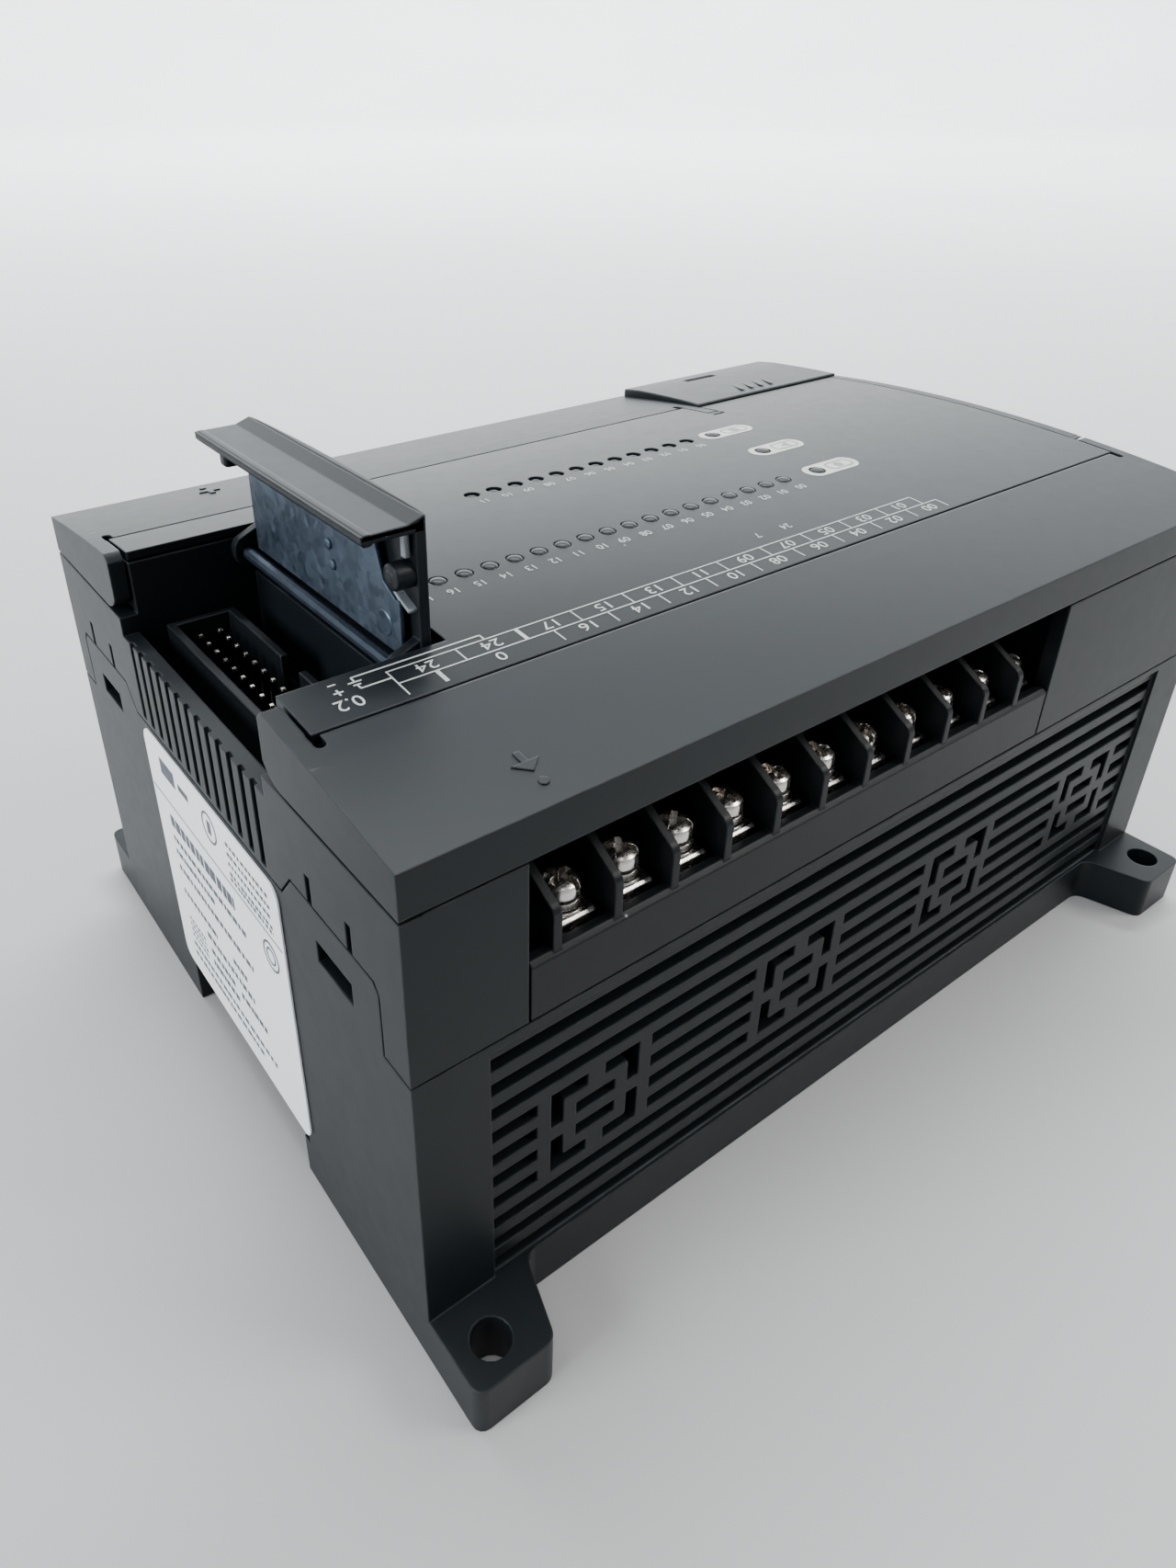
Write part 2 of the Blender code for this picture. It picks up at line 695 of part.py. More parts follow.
def bay_cuts():
    """Open terminal bays along both sides, with closed shelves at their ends."""
    below = SEAM - PAST
    near = (WALL, BAY_DEPTH)
    far = mirror_y(near)
    shelf = (below, RIM - 1.6 * MM)
    return [
        box("near_bay", (11.5 * MM, 96 * MM), near, (below, PEAK)),
        box("near_left_end", (WALL, 10 * MM), near, shelf),
        box("near_right_end", (97.5 * MM, LENGTH - WALL), near, shelf),
        box("far_bay", (11.5 * MM, 96 * MM), far, (below, PEAK)),
        box("far_left_end", (WALL, 10 * MM), far, shelf),
        box("near_window", (WINDOW_LEFT, WINDOW_RIGHT), (-PAST, WALL + PAST), (below, PEAK)),
        box("far_window", (WINDOW_LEFT, WINDOW_RIGHT), (DEPTH - WALL - PAST, DEPTH + PAST), (below, PEAK)),
    ]


def cover_cuts():
    """Room for the covers above the rim, and for the face panel above the deck."""
    through = (-PAST, LENGTH + PAST)
    above = (RIM, PEAK + PAST)
    panel = crown_run(0.0, DEPTH, 24, DECK_DROP)
    pocket = panel + [(DEPTH, PEAK + PAST), (0.0, PEAK + PAST)]
    return [
        box("near_cover_room", through, (-PAST, BAY_DEPTH), above),
        box("far_cover_room", through, (DEPTH - BAY_DEPTH, DEPTH + PAST), above),
        box("comm_cover_room", (COMM_LEFT - GAP, LENGTH + PAST), (COMM_NEAR - GAP, DEPTH + PAST), above),
        prism("panel_pocket", pocket, "X", WALL, LENGTH - WALL),
    ] + arm_rooms()


def core_cuts():
    """Hollow under the deck, kept clear of the expansion port's well."""
    below = SEAM - PAST
    near = BAY_DEPTH + 1.3 * MM
    far = COMM_NEAR - 2 * MM
    well_right = DOOR_POCKET + 1.0 * MM
    return [
        box("core_hollow", (well_right, LENGTH - WALL), (near, far), (below, DECK_UNDER)),
        box("core_near_end", (WALL, well_right + PAST), (near, PORT_NEAR - 1.2 * MM), (below, DECK_UNDER)),
        box("core_far_end", (WALL, well_right + PAST), (PORT_FAR + 1.2 * MM, far), (below, DECK_UNDER)),
        box("under_well", (WALL, well_right + PAST), (near, far), (below, PORT_FLOOR - 1.4 * MM)),
    ]


def port_cuts():
    """Expansion port: the well, its open left side and the pocket for the door's hinge."""
    ys = (PORT_NEAR, PORT_FAR)
    header_xs = (HEADER_LEFT - GAP, HEADER_LEFT + HEADER_WIDTH + GAP)
    header_ys = (HEADER_MIDDLE - HEADER_LENGTH / 2 - GAP, HEADER_MIDDLE + HEADER_LENGTH / 2 + GAP)
    return [
        box("port_side", (-PAST, WALL + PAST), ys, (PORT_SILL, PEAK + PAST)),
        box("port_well", (WALL, PORT_RIGHT), ys, (PORT_FLOOR, PEAK + PAST)),
        box("hinge_pocket", (PORT_RIGHT - PAST, DOOR_POCKET), ys, (61.6 * MM, PEAK + PAST)),
        box("header_hole", header_xs, header_ys, (PORT_FLOOR - 3 * MM, PORT_FLOOR + PAST)),
        cylinder("rod_hole", (DOOR_HINGE_X, DEPTH / 2, DOOR_HINGE_Z), DOOR_ROD_RADIUS + 0.3 * MM,
                 PORT_FAR - PORT_NEAR + 4 * MM, "Y"),
    ]


def comm_cuts():
    """Recess under the corner cover, with holes for the socket and the switch."""
    xs = (COMM_LEFT + 0.8 * MM, LENGTH - WALL)
    ys = (COMM_NEAR - GAP, DEPTH - WALL)
    floor = (COMM_FLOOR - 3 * MM, COMM_FLOOR + PAST)
    return [
        box("comm_recess", xs, ys, (COMM_FLOOR, PEAK)),
        box("under_comm", xs, ys, (SEAM - PAST, COMM_FLOOR - 1.6 * MM)),
        cylinder("socket_hole", (SOCKET_X, COMM_MIDDLE, COMM_FLOOR), 5.2 * MM, 8 * MM, sides=20),
        box("switch_hole", (SWITCH_X - 2.4 * MM, SWITCH_X + 2.4 * MM),
            (COMM_MIDDLE - 5 * MM, COMM_MIDDLE + 5 * MM), floor),
    ]


def lamp_slots():
    """Slots in the deck that the light pipes' posts pass through."""
    half = LAMP_RADIUS + 0.3 * MM
    deck = (DECK_UNDER - PAST, PEAK + PAST)
    first_input = INPUT_LAMP_END - (INPUT_LAMPS - 1) * INPUT_LAMP_PITCH
    first_output = OUTPUT_LAMP_END - (OUTPUT_LAMPS - 1) * OUTPUT_LAMP_PITCH
    return [
        box("input_slot", (first_input - half, INPUT_LAMP_END + half),
            (INPUT_LAMP_Y - half, INPUT_LAMP_Y + half), deck),
        box("output_slot", (first_output - half, OUTPUT_LAMP_END + half),
            (OUTPUT_LAMP_Y - half, OUTPUT_LAMP_Y + half), deck),
        box("status_slot", (STATUS_LAMP_X - half, STATUS_LAMP_X + half),
            (STATUS_LAMP_YS[0] - half, STATUS_LAMP_YS[-1] + half), deck),
    ]


def front_case():
    case = prism("front_case", front_outline(), "X", 0.0, LENGTH, CASE_PLASTIC)
    cut(case, bay_cuts(), "bays")
    cut(case, core_cuts(), "core")
    cut(case, cover_cuts(), "covers")
    cut(case, port_cuts(), "port")
    cut(case, comm_cuts(), "comm")
    seam = [prism("seam_notch", seam_notch(), "X", low, low + WALL + 2 * PAST)
            for low in (-PAST, LENGTH - WALL - PAST)]
    cut(case, seam + lamp_slots(), "seam")
    ears, holes = hinge_ears()
    weld(case, snap_tongues() + ears, "hooks")
    cut(case, tongue_slots() + side_vents() + holes, "slots")
    return case


# ---------------------------------------------------------------- face panel and light pipes

def lamp_places():
    places = {"input": [], "output": [], "status": []}
    for index in range(INPUT_LAMPS):
        places["input"].append((INPUT_LAMP_END - index * INPUT_LAMP_PITCH, INPUT_LAMP_Y))
    for index in range(OUTPUT_LAMPS):
        places["output"].append((OUTPUT_LAMP_END - index * OUTPUT_LAMP_PITCH, OUTPUT_LAMP_Y))
    for y in STATUS_LAMP_YS:
        places["status"].append((STATUS_LAMP_X, y))
    return places


def face_panel():
    near = PANEL_NEAR
    far = DEPTH - PANEL_NEAR
    outline = crown_run(near, far, 14) + crown_run(near, far, 14, PANEL_THICK)[::-1]
    panel = prism("face_panel", outline, "X", PANEL_EDGE, LENGTH - PANEL_EDGE, PANEL_PLASTIC)
    notches = [
        box("port_notch", (-PAST, DOOR_POCKET), (PORT_NEAR - GAP, PORT_FAR + GAP), (60 * MM, 75 * MM)),
        box("comm_notch", (COMM_LEFT - 2 * GAP, LENGTH), (COMM_NEAR - 2 * GAP, DEPTH), (60 * MM, 75 * MM)),
        box("arm_notch", (OUTPUT_COVER_END - COVER_ARM - GAP, OUTPUT_COVER_END + GAP),
            (DEPTH - PORT_NEAR, DEPTH), (60 * MM, 75 * MM)),
    ]
    cut(panel, notches, "notches")
    holes = []
    for row in lamp_places().values():
        for x, y in row:
            holes.append(cylinder("lamp_hole", (x, y, PEAK), LAMP_RADIUS, 8 * MM, sides=8))
    return cut(panel, holes, "lamps")


def light_pipe(name, places):
    """Clear moulding with one post for each lamp, joined by a bar under the deck."""
    low = 61.0 * MM
    half = LAMP_RADIUS - 0.3 * MM
    xs = [x for x, _ in places]
    ys = [y for _, y in places]
    bar = box(name, (min(xs) - half, max(xs) + half), (min(ys) - half, max(ys) + half),
              (low, low + 2 * MM), LAMP_CLEAR)
    posts = []
    for x, y in places:
        top = crown(y) - 0.25 * MM
        length = top - low - PAST
        centre = (x, y, top - length / 2)
        posts.append(cylinder("lamp_post", centre, LAMP_RADIUS - 0.35 * MM, length, sides=8))
    return weld(bar, posts)


# ---------------------------------------------------------------- covers

def settle(points, depth, raise_by):
    """Lift a cover's outline, fully at its outer edge and barely at its inner one."""
    lifted = []
    for y, z in points:
        share = min(max((y - EDGE_STRIP) / (depth - EDGE_STRIP), 0.0), 1.0)
        lifted.append((y, z + raise_by * (1 - 0.7 * share)))
    return lifted


def cover_solid(raise_by=0.0, depth=COVER_DEPTH, slices=5, bevel=COVER_BEVEL):
    """Y-Z outline of a cover over the input side, before it is hollowed."""
    top = settle(crown_run(EDGE_STRIP, depth, slices - 1), depth, raise_by)
    low = (depth - bevel, crown(depth) - COVER_THICK)
    return [(0.0, RIM + GAP), (0.0, EDGE_HEIGHT + raise_by)] + top + [low, (depth - bevel, RIM + GAP)]


def cover_inside(raise_by=0.0, depth=COVER_DEPTH, slices=5):
    under = settle(crown_run(EDGE_STRIP, depth + PAST, slices - 1, COVER_THICK), depth, raise_by)
    low = RIM - PAST
    lip = EDGE_HEIGHT - COVER_THICK + raise_by
    return [(COVER_THICK, low), (COVER_THICK, lip)] + under + [(depth + PAST, low)]


def arm_outline():
    """Y-Z outline of an end cheek's arm, which reaches back to the hinge line."""
    curve = []
    for step in range(7):
        angle = radians(-90 + 58.2 * step / 6)
        curve.append((COVER_HINGE_Y + COVER_ARM_RADIUS * cos(angle),
                      COVER_HINGE_Z + COVER_ARM_RADIUS * sin(angle)))
    for step in range(4):
        angle = radians(36 + 14 * step / 3)
        curve.append((COVER_HINGE_Y + COVER_ARM_SWING * cos(angle),
                      COVER_HINGE_Z + COVER_ARM_SWING * sin(angle)))
    top = crown_run(COVER_DEPTH - 4 * MM, COVER_HINGE_Y + 2.4 * MM, 5)[::-1]
    return [(COVER_DEPTH - 4 * MM, RIM + GAP)] + curve + top


def terminal_cover(name, left, right, side):
    """Cover over a row of terminals: top plate, skirt and end arms with moulded hinge pins."""
    solid = cover_solid()
    inside = cover_inside()
    arm = arm_outline()
    hinge_y = COVER_HINGE_Y
    if side:
        solid = flip(solid)
        inside = flip(inside)
        arm = flip(arm)
        hinge_y = DEPTH - COVER_HINGE_Y
    cover = prism(name, solid, "X", left, right, CASE_PLASTIC)
    cut(cover, [prism(name + "_inside", inside, "X", left + COVER_ARM, right - COVER_ARM)], "inside")
    arms = []
    for start, inward in ((left, 1), (right, -1)):
        arms.append(prism("cover_arm", arm, "X", *sorted((start, start + inward * COVER_ARM))))
        centre = (start + inward * (COVER_ARM + 0.4 * MM), hinge_y, COVER_HINGE_Z)
        arms.append(cylinder("hinge_pin", centre, HINGE_PIN_RADIUS, 2.8 * MM, "X"))
    return weld(cover, arms, "arms")


def comm_cover():
    """Raised corner cover over the communication socket."""
    depth = DEPTH - COMM_NEAR
    solid = flip(cover_solid(COMM_RAISE, depth, bevel=0.0))
    inside = flip(cover_inside(COMM_RAISE, depth))
    inside[-1] = (COMM_NEAR + COVER_THICK, inside[-1][1])
    inside[-2] = (COMM_NEAR + COVER_THICK, inside[-2][1])
    solid[-1] = (COMM_NEAR, 64.9 * MM)
    del solid[-2]
    cover = prism("comm_port_cover", solid, "X", COMM_LEFT, LENGTH, CASE_PLASTIC)
    hollow = prism("comm_inside", inside, "X", COMM_LEFT + 1.6 * MM, LENGTH - 1.8 * MM)
    finger = box("finger_slot", (111.5 * MM, 118.5 * MM), (DEPTH - 4.6 * MM, DEPTH - 3.4 * MM),
                 (crown(DEPTH - 4 * MM) + 0.6 * MM, PEAK + 2 * MM))
    return cut(cover, [hollow, finger])


def door_point(out, along):
    """X-Z place on the open door: out from the hinge through the plate, and along the plate."""
    return (DOOR_HINGE_X + out, DOOR_HINGE_Z + along)


def expansion_door():
    """Door standing open: plate, flange that covers the side opening, and a fingernail ridge."""
    near = PORT_NEAR + GAP
    far = PORT_FAR - GAP
    reach = DOOR_HINGE_X
    face = crown(near) - DOOR_HINGE_Z
    bulge = PEAK - crown(near)
    skin = [(DOOR_HINGE_X + face + crown(y) - crown(near), y) for y in spread(near, far, 8)]
    back = [(DOOR_HINGE_X + face - DOOR_THICK, y) for y in (far, near)]
    door = prism("expansion_door", skin + back, "Z", DOOR_HINGE_Z - 1.7 * MM, DOOR_HINGE_Z + reach,
                 CASE_PLASTIC)
    flange = prism("door_flange", fillet([
        (*door_point(face - 0.4 * MM, reach), 0),
        (*door_point(face - DOOR_FLANGE, reach), 0.4 * MM),
        (*door_point(face - DOOR_FLANGE, reach - 1.2 * MM), 0.4 * MM),
        (*door_point(face - 0.4 * MM, reach - 1.2 * MM), 0),
    ]), "Y", near, far)
    ridge_room = prism("ridge_room", fillet([
        (*door_point(face - 2.2 * MM, reach + PAST), 0),
        (*door_point(face - 2.2 * MM, reach - 0.7 * MM), 0),
        (*door_point(face - 0.9 * MM, reach - 0.7 * MM), 0.8 * MM),
        (*door_point(face + 0.1 * MM, reach + 0.01 * MM), 0),
        (*door_point(face + 0.1 * MM, reach + PAST), 0),
    ]), "Y", near - PAST, far + PAST)
    flange_top = box("flange_top", (0, DOOR_HINGE_X + face - 2.1 * MM), (near - PAST, far + PAST),
                     (DOOR_HINGE_Z + reach - 0.7 * MM, DOOR_HINGE_Z + reach + PAST))
    arms = []
    for y in (near + 0.9 * MM, far - 0.9 * MM):
        arm = fillet([
            (*door_point(-1.7 * MM, -1.7 * MM), 1.6 * MM),
            (*door_point(face - 0.5 * MM, -1.7 * MM), 0),
            (*door_point(face - 0.5 * MM, 3.5 * MM), 0),
            (*door_point(-1.7 * MM, 1.7 * MM), 1.6 * MM),
        ])
        arms.append(prism("door_arm", arm, "Y", y - 0.6 * MM, y + 0.6 * MM))
    weld(door, [flange] + arms)
    rod = cylinder("door_bore", (DOOR_HINGE_X, DEPTH / 2, DOOR_HINGE_Z), DOOR_ROD_RADIUS + 0.3 * MM,
                   DEPTH, "Y")
    assert bulge < DOOR_THICK
    return cut(door, [ridge_room, flange_top, rod])


def door_shield():
    """Sheet-steel plate on the inner side of the door, notched round its clip."""
    face = crown(PORT_NEAR) - DOOR_HINGE_Z
    out = DOOR_HINGE_X + face - DOOR_THICK - 0.9 * MM
    near = PORT_NEAR + 2.2 * MM
    far = PORT_FAR - 3.4 * MM
    low = DOOR_HINGE_Z + 1.0 * MM
    high = DOOR_HINGE_Z + DOOR_HINGE_X - 1.8 * MM
    outline = [
        (near, low),
        (far, low),
        (far, high - 3 * MM),
        (far - 1.6 * MM, high),
        (near + 5 * MM, high),
        (near + 4.2 * MM, high - 3 * MM),
        (near + 3 * MM, high - 6.2 * MM),
        (near + 1 * MM, high - 7.4 * MM),
        (near, high - 7.4 * MM),
    ]
    return prism("door_shield", outline, "X", out - 0.25 * MM, out + 0.25 * MM, DOOR_STEEL)


def door_clip():
    """Moulded clip between the door's plate and its shield, seen through the shield's notch."""
    face = crown(PORT_NEAR) - DOOR_HINGE_Z
    right = DOOR_HINGE_X + face - DOOR_THICK - GAP
    top = DOOR_HINGE_Z + DOOR_HINGE_X
    near = PORT_NEAR + GAP
    outline = fillet([
        (right, top - 6.0 * MM, 0),
        (right, top - 3.2 * MM, 0),
        (right - 2.6 * MM, top - 3.2 * MM, 1.1 * MM),
        (right - 2.6 * MM, top - 6.0 * MM, 1.1 * MM),
    ])
    return prism("door_clip", outline, "Y", near + 0.4 * MM, near + 4.2 * MM, CASE_PLASTIC)


def door_rod():
    length = PORT_FAR - PORT_NEAR + 2 * MM
    return cylinder("door_hinge_rod", (DOOR_HINGE_X, DEPTH / 2 + 0.2 * MM, DOOR_HINGE_Z),
                    DOOR_ROD_RADIUS, length, "Y", PLATED_STEEL)


# ---------------------------------------------------------------- expansion header

def expansion_header():
    xs = (HEADER_LEFT, HEADER_LEFT + HEADER_WIDTH)
    ys = (HEADER_MIDDLE - HEADER_LENGTH / 2, HEADER_MIDDLE + HEADER_LENGTH / 2)
    shroud = box("expansion_header", xs, ys, (MAIN_BOARD + BOARD_THICK + GAP, HEADER_TOP), BLOCK_PLASTIC)
    wall = 1.0 * MM
    inner_xs = (xs[0] + wall, xs[1] - wall)
    inner_ys = (ys[0] + wall, ys[1] - wall)
    key_ys = (HEADER_MIDDLE - 2.3 * MM, HEADER_MIDDLE + 2.3 * MM)
    cuts = [
        box("socket_room", inner_xs, inner_ys, (51.5 * MM, HEADER_TOP + PAST)),
        box("key_slot", (xs[1] - 2 * wall, xs[1] + PAST), key_ys, (52.5 * MM, HEADER_TOP + PAST)),
    ]
    for row in header_rows():
        half = PIN_SIDE / 2 + GAP
        pins = (pin_y(0) - half, pin_y(PINS_IN_ROW - 1) + half)
        cuts.append(box("pin_channel", (row - half, row + half), pins, (44.0 * MM, 52.0 * MM)))
    return cut(shroud, cuts)


def header_rows():
    middle = HEADER_LEFT + HEADER_WIDTH / 2
    return (middle - PIN_PITCH / 2, middle + PIN_PITCH / 2)


def pin_y(index):
    return HEADER_MIDDLE + (index - (PINS_IN_ROW - 1) / 2) * PIN_PITCH


def pin_row(name, x):
    """One row of square pins, held by a strip inside the header's body."""
    half = PIN_SIDE / 2
    strip = box(name, (x - half, x + half), (pin_y(0) - half, pin_y(PINS_IN_ROW - 1) + half),
                (44.4 * MM, 46.0 * MM), GOLD_PLATE)
    pins = []
    for index in range(PINS_IN_ROW):
        y = pin_y(index)
        pins.append(box("pin", (x - half, x + half), (y - half, y + half), (45.0 * MM, PIN_TIP)))
    return weld(strip, pins)


# ---------------------------------------------------------------- terminals

def block_outline():
    return [
        (0.0, SEAM + 0.15 * MM),
        (0.0, 48.0 * MM),
        (0.5 * MM, 48.5 * MM),
        (1.5 * MM, 48.5 * MM),
        (1.5 * MM, LOWER_FLOOR),
        (9.0 * MM, LOWER_FLOOR),
        (9.0 * MM, UPPER_FLOOR),
        (17.2 * MM, UPPER_FLOOR),
        (17.2 * MM, MAIN_BOARD + BOARD_THICK + GAP),
        (2.4 * MM, MAIN_BOARD + BOARD_THICK + GAP),
        (2.4 * MM, SEAM + 0.15 * MM),
    ]


def divider_outline():
    return [
        (0.3 * MM, 45.0 * MM),
        (0.3 * MM, 52.4 * MM),
        (0.6 * MM, 53.0 * MM),
        (1.1 * MM, 53.4 * MM),
        (1.8 * MM, 53.7 * MM),
        (8.2 * MM, 57.4 * MM),
        (9.6 * MM, 61.2 * MM),
        (16.8 * MM, 62.2 * MM),
        (16.8 * MM, 45.0 * MM),
    ]


def terminal_block(name, side):
    shape = block_outline()
    blade = divider_outline()
    if side:
        shape = flip(shape)
        blade = flip(blade)
    block = prism(name, shape, "X", WINDOW_LEFT + GAP, WINDOW_RIGHT - GAP, BLOCK_PLASTIC)
    dividers = []
    for index in range(TERMINALS):
        low = FIRST_DIVIDER - DIVIDER / 2 + index * TERMINAL_PITCH
        dividers.append(prism("divider", blade, "X", low, low + DIVIDER))
    return weld(block, dividers)


def terminal_x(index):
    return FIRST_DIVIDER + (index + 0.5) * TERMINAL_PITCH


def terminal_screw(name, x, y):
    """Screw with its captive spring washer and square clamp plate, backed off two turns."""
    profile = [
        (0.0, 5.8 * MM),
        (1.5 * MM, 5.7 * MM),
        (2.0 * MM, 5.2 * MM),
        (2.0 * MM, 3.6 * MM),
        (2.2 * MM, 3.4 * MM),
        (2.2 * MM, 2.5 * MM),
        (1.2 * MM, 2.5 * MM),
        (1.2 * MM, 0.6 * MM),
        (0.0, 0.6 * MM),
    ]
    screw = turned(name, profile, spot(x, y, LOWER_FLOOR), PLATED_STEEL)
    half = 2.4 * MM
    plate = box("clamp_plate", (x - half, x + half), (y - half, y + half),
                (LOWER_FLOOR + 0.35 * MM, LOWER_FLOOR + 1.3 * MM))
    return weld(screw, [plate])


# ---------------------------------------------------------------- communication corner

def comm_socket():
    """Round metal shell and its insulator, standing in the corner recess."""
    centre = (SOCKET_X, COMM_MIDDLE, 50.0 * MM)
    shell = cylinder("comm_socket_shell", centre, 4.8 * MM, 12 * MM, "Z", PLATED_STEEL, 20)
    bore = cylinder("shell_bore", centre, 4.3 * MM, 16 * MM, sides=20)
    cut(shell, [bore])
    insert = cylinder("comm_socket_insert", (SOCKET_X, COMM_MIDDLE, 48.2 * MM), 3.95 * MM, 8 * MM,
                      "Z", BLOCK_PLASTIC, 16)
    key = box("socket_key", (SOCKET_X - 1 * MM, SOCKET_X + 1 * MM),
              (COMM_MIDDLE + 3.1 * MM, COMM_MIDDLE + 5 * MM), (50.5 * MM, 54 * MM))
    cut(insert, [key])


def mode_switch():
    """Slide switch: a body under the recess floor and a lever that moves along Y."""
    body = box("mode_switch_body", (SWITCH_X - 3.5 * MM, SWITCH_X + 3.5 * MM),
               (COMM_MIDDLE - 6 * MM, COMM_MIDDLE + 6 * MM), (45.0 * MM, 52.0 * MM), BLOCK_PLASTIC)
    track = box("switch_track", (SWITCH_X - 1.6 * MM, SWITCH_X + 1.6 * MM),
                (COMM_MIDDLE - 4.3 * MM, COMM_MIDDLE + 4.3 * MM), (49.0 * MM, 53.0 * MM))
    cut(body, [track])
    lever_far = COMM_MIDDLE - 4.0 * MM + 3.2 * MM
    box("mode_switch_lever", (SWITCH_X - 1.2 * MM, SWITCH_X + 1.2 * MM),
        (COMM_MIDDLE - 4.0 * MM, lever_far), (49.4 * MM, 56.4 * MM), LABEL_WHITE)


# ---------------------------------------------------------------- electronics inside

def boards():
    edge = WALL + 1.8 * MM
    box("main_board", (edge, LENGTH - edge), (edge, DEPTH - edge),
        (MAIN_BOARD, MAIN_BOARD + BOARD_THICK), BOARD_GREEN)
    box("power_board", (13 * MM, LENGTH - 13 * MM), (13 * MM, DEPTH - 13 * MM),
        (POWER_BOARD, POWER_BOARD + BOARD_THICK), BOARD_GREEN)


def power_parts():
    """Mains fuse, transformer, reservoir capacitor and heat sink on the lower board."""
    seat = POWER_BOARD + BOARD_THICK + GAP
    core = box("transformer", (22 * MM, 48 * MM), (36 * MM, 58 * MM), (seat, seat + 20 * MM), CORE_GREY)
    windows = []
    for ys in ((35 * MM, 40 * MM), (54 * MM, 59 * MM)):
        windows.append(box("core_window", (27 * MM, 43 * MM), ys, (seat + 3 * MM, seat + 17 * MM)))
    cut(core, windows)
    cylinder("reservoir_capacitor", (63 * MM, 42 * MM, seat + 10 * MM), 9 * MM, 20 * MM, "Z",
             CORE_GREY, 20)
    cylinder("mains_fuse", (36 * MM, 24 * MM, seat + 3 * MM), 2.6 * MM, 20 * MM, "X", FUSE_CERAMIC, 12)
    sink = box("heat_sink", (80 * MM, 110 * MM), (34 * MM, 50 * MM), (seat, seat + 16 * MM), ALUMINIUM)
    fins = []
    for index in range(5):
        x = 83 * MM + index * 5.4 * MM
        fins.append(box("fin_gap", (x, x + 3 * MM), (33 * MM, 51 * MM), (seat + 3 * MM, seat + 18 * MM)))
    cut(sink, fins)


def relays():
    seat = POWER_BOARD + BOARD_THICK + GAP
    for index in range(4):
        x = 30 * MM + index * 21 * MM
        box("output_relay_%d" % (index + 1), (x, x + 18 * MM), (62 * MM, 74 * MM),
            (seat, seat + 15 * MM), RELAY_BLUE)


def logic_parts():
    seat = MAIN_BOARD + BOARD_THICK + GAP
    box("processor", (60 * MM, 74 * MM), (38 * MM, 52 * MM), (seat, seat + 1.4 * MM), CORE_GREY)
    cylinder("backup_battery", (100 * MM, 45 * MM, seat + 2.6 * MM), 9 * MM, 5.2 * MM, "Z",
             PLATED_STEEL, 20)


# ---------------------------------------------------------------- assembly

def build():
    rear_case()
    rating_label()
    rail_latch()
    front_case()
    face_panel()
    for kind, places in lamp_places().items():
        light_pipe(kind + "_light_pipe", places)
    terminal_cover("input_terminal_cover", 0.0, LENGTH, 0)
    terminal_cover("output_terminal_cover", 0.0, OUTPUT_COVER_END, 1)
    comm_cover()
    expansion_door()
    door_shield()
    door_clip()
    door_rod()
    expansion_header()
    for name, x in zip(("header_pins_left", "header_pins_right"), header_rows()):
        pin_row(name, x)
    terminal_block("input_terminal_block", 0)
    terminal_block("output_terminal_block", 1)
    for index in range(TERMINALS):
        x = terminal_x(index)
        terminal_screw("input_screw_%02d" % (index + 1), x, LOWER_ROW_Y)
        terminal_screw("output_screw_%02d" % (index + 1), x, DEPTH - LOWER_ROW_Y)
    comm_socket()
    mode_switch()
    boards()
    power_parts()
    relays()
    logic_parts()


build()
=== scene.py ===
"""Looks for the compact programmable controller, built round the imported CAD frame.

Places are given in millimetres from the left end, the input side and the back of the case.
at() turns them into positions in the frame.
"""

from math import cos
from math import pi
from math import radians
from math import sin
from math import sqrt
from random import Random

import bmesh
import bpy
from mathutils import Matrix
from mathutils import Vector


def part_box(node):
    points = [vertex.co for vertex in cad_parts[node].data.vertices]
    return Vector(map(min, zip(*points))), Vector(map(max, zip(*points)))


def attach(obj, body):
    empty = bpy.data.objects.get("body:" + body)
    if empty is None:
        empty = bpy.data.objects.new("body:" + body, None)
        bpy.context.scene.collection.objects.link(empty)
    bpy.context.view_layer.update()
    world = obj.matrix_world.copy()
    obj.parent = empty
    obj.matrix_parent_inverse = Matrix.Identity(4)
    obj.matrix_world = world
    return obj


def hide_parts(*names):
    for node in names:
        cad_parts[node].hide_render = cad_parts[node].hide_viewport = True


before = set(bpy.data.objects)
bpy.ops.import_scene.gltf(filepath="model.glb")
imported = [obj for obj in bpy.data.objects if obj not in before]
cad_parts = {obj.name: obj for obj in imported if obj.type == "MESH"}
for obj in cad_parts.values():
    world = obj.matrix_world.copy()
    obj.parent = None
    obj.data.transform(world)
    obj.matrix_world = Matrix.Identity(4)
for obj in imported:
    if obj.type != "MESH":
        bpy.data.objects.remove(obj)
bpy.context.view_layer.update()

MM = 0.001
ORIGIN = Vector((0, 0, 0))
CASE_LOW, CASE_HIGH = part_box("front_case")
LENGTH = (CASE_HIGH.x - CASE_LOW.x) / MM
DEPTH = (CASE_HIGH.y - CASE_LOW.y) / MM

PEAK = 68.6
CROWN_RADIUS = 288.0
EDGE_STRIP = 3.8
EDGE_HEIGHT = 65.1
PANEL_EDGE = 2.3
PANEL_NEAR = 17.95
PANEL_THICK = 1.0
PORT_NEAR = 25.2
PORT_FAR = 65.2
PORT_POCKET = 20.6
COVER_ARM = 1.9
OUTPUT_COVER_END = 99.8
COMM_LEFT = 100.2
COMM_NEAR = 71.2
GAP = 0.3

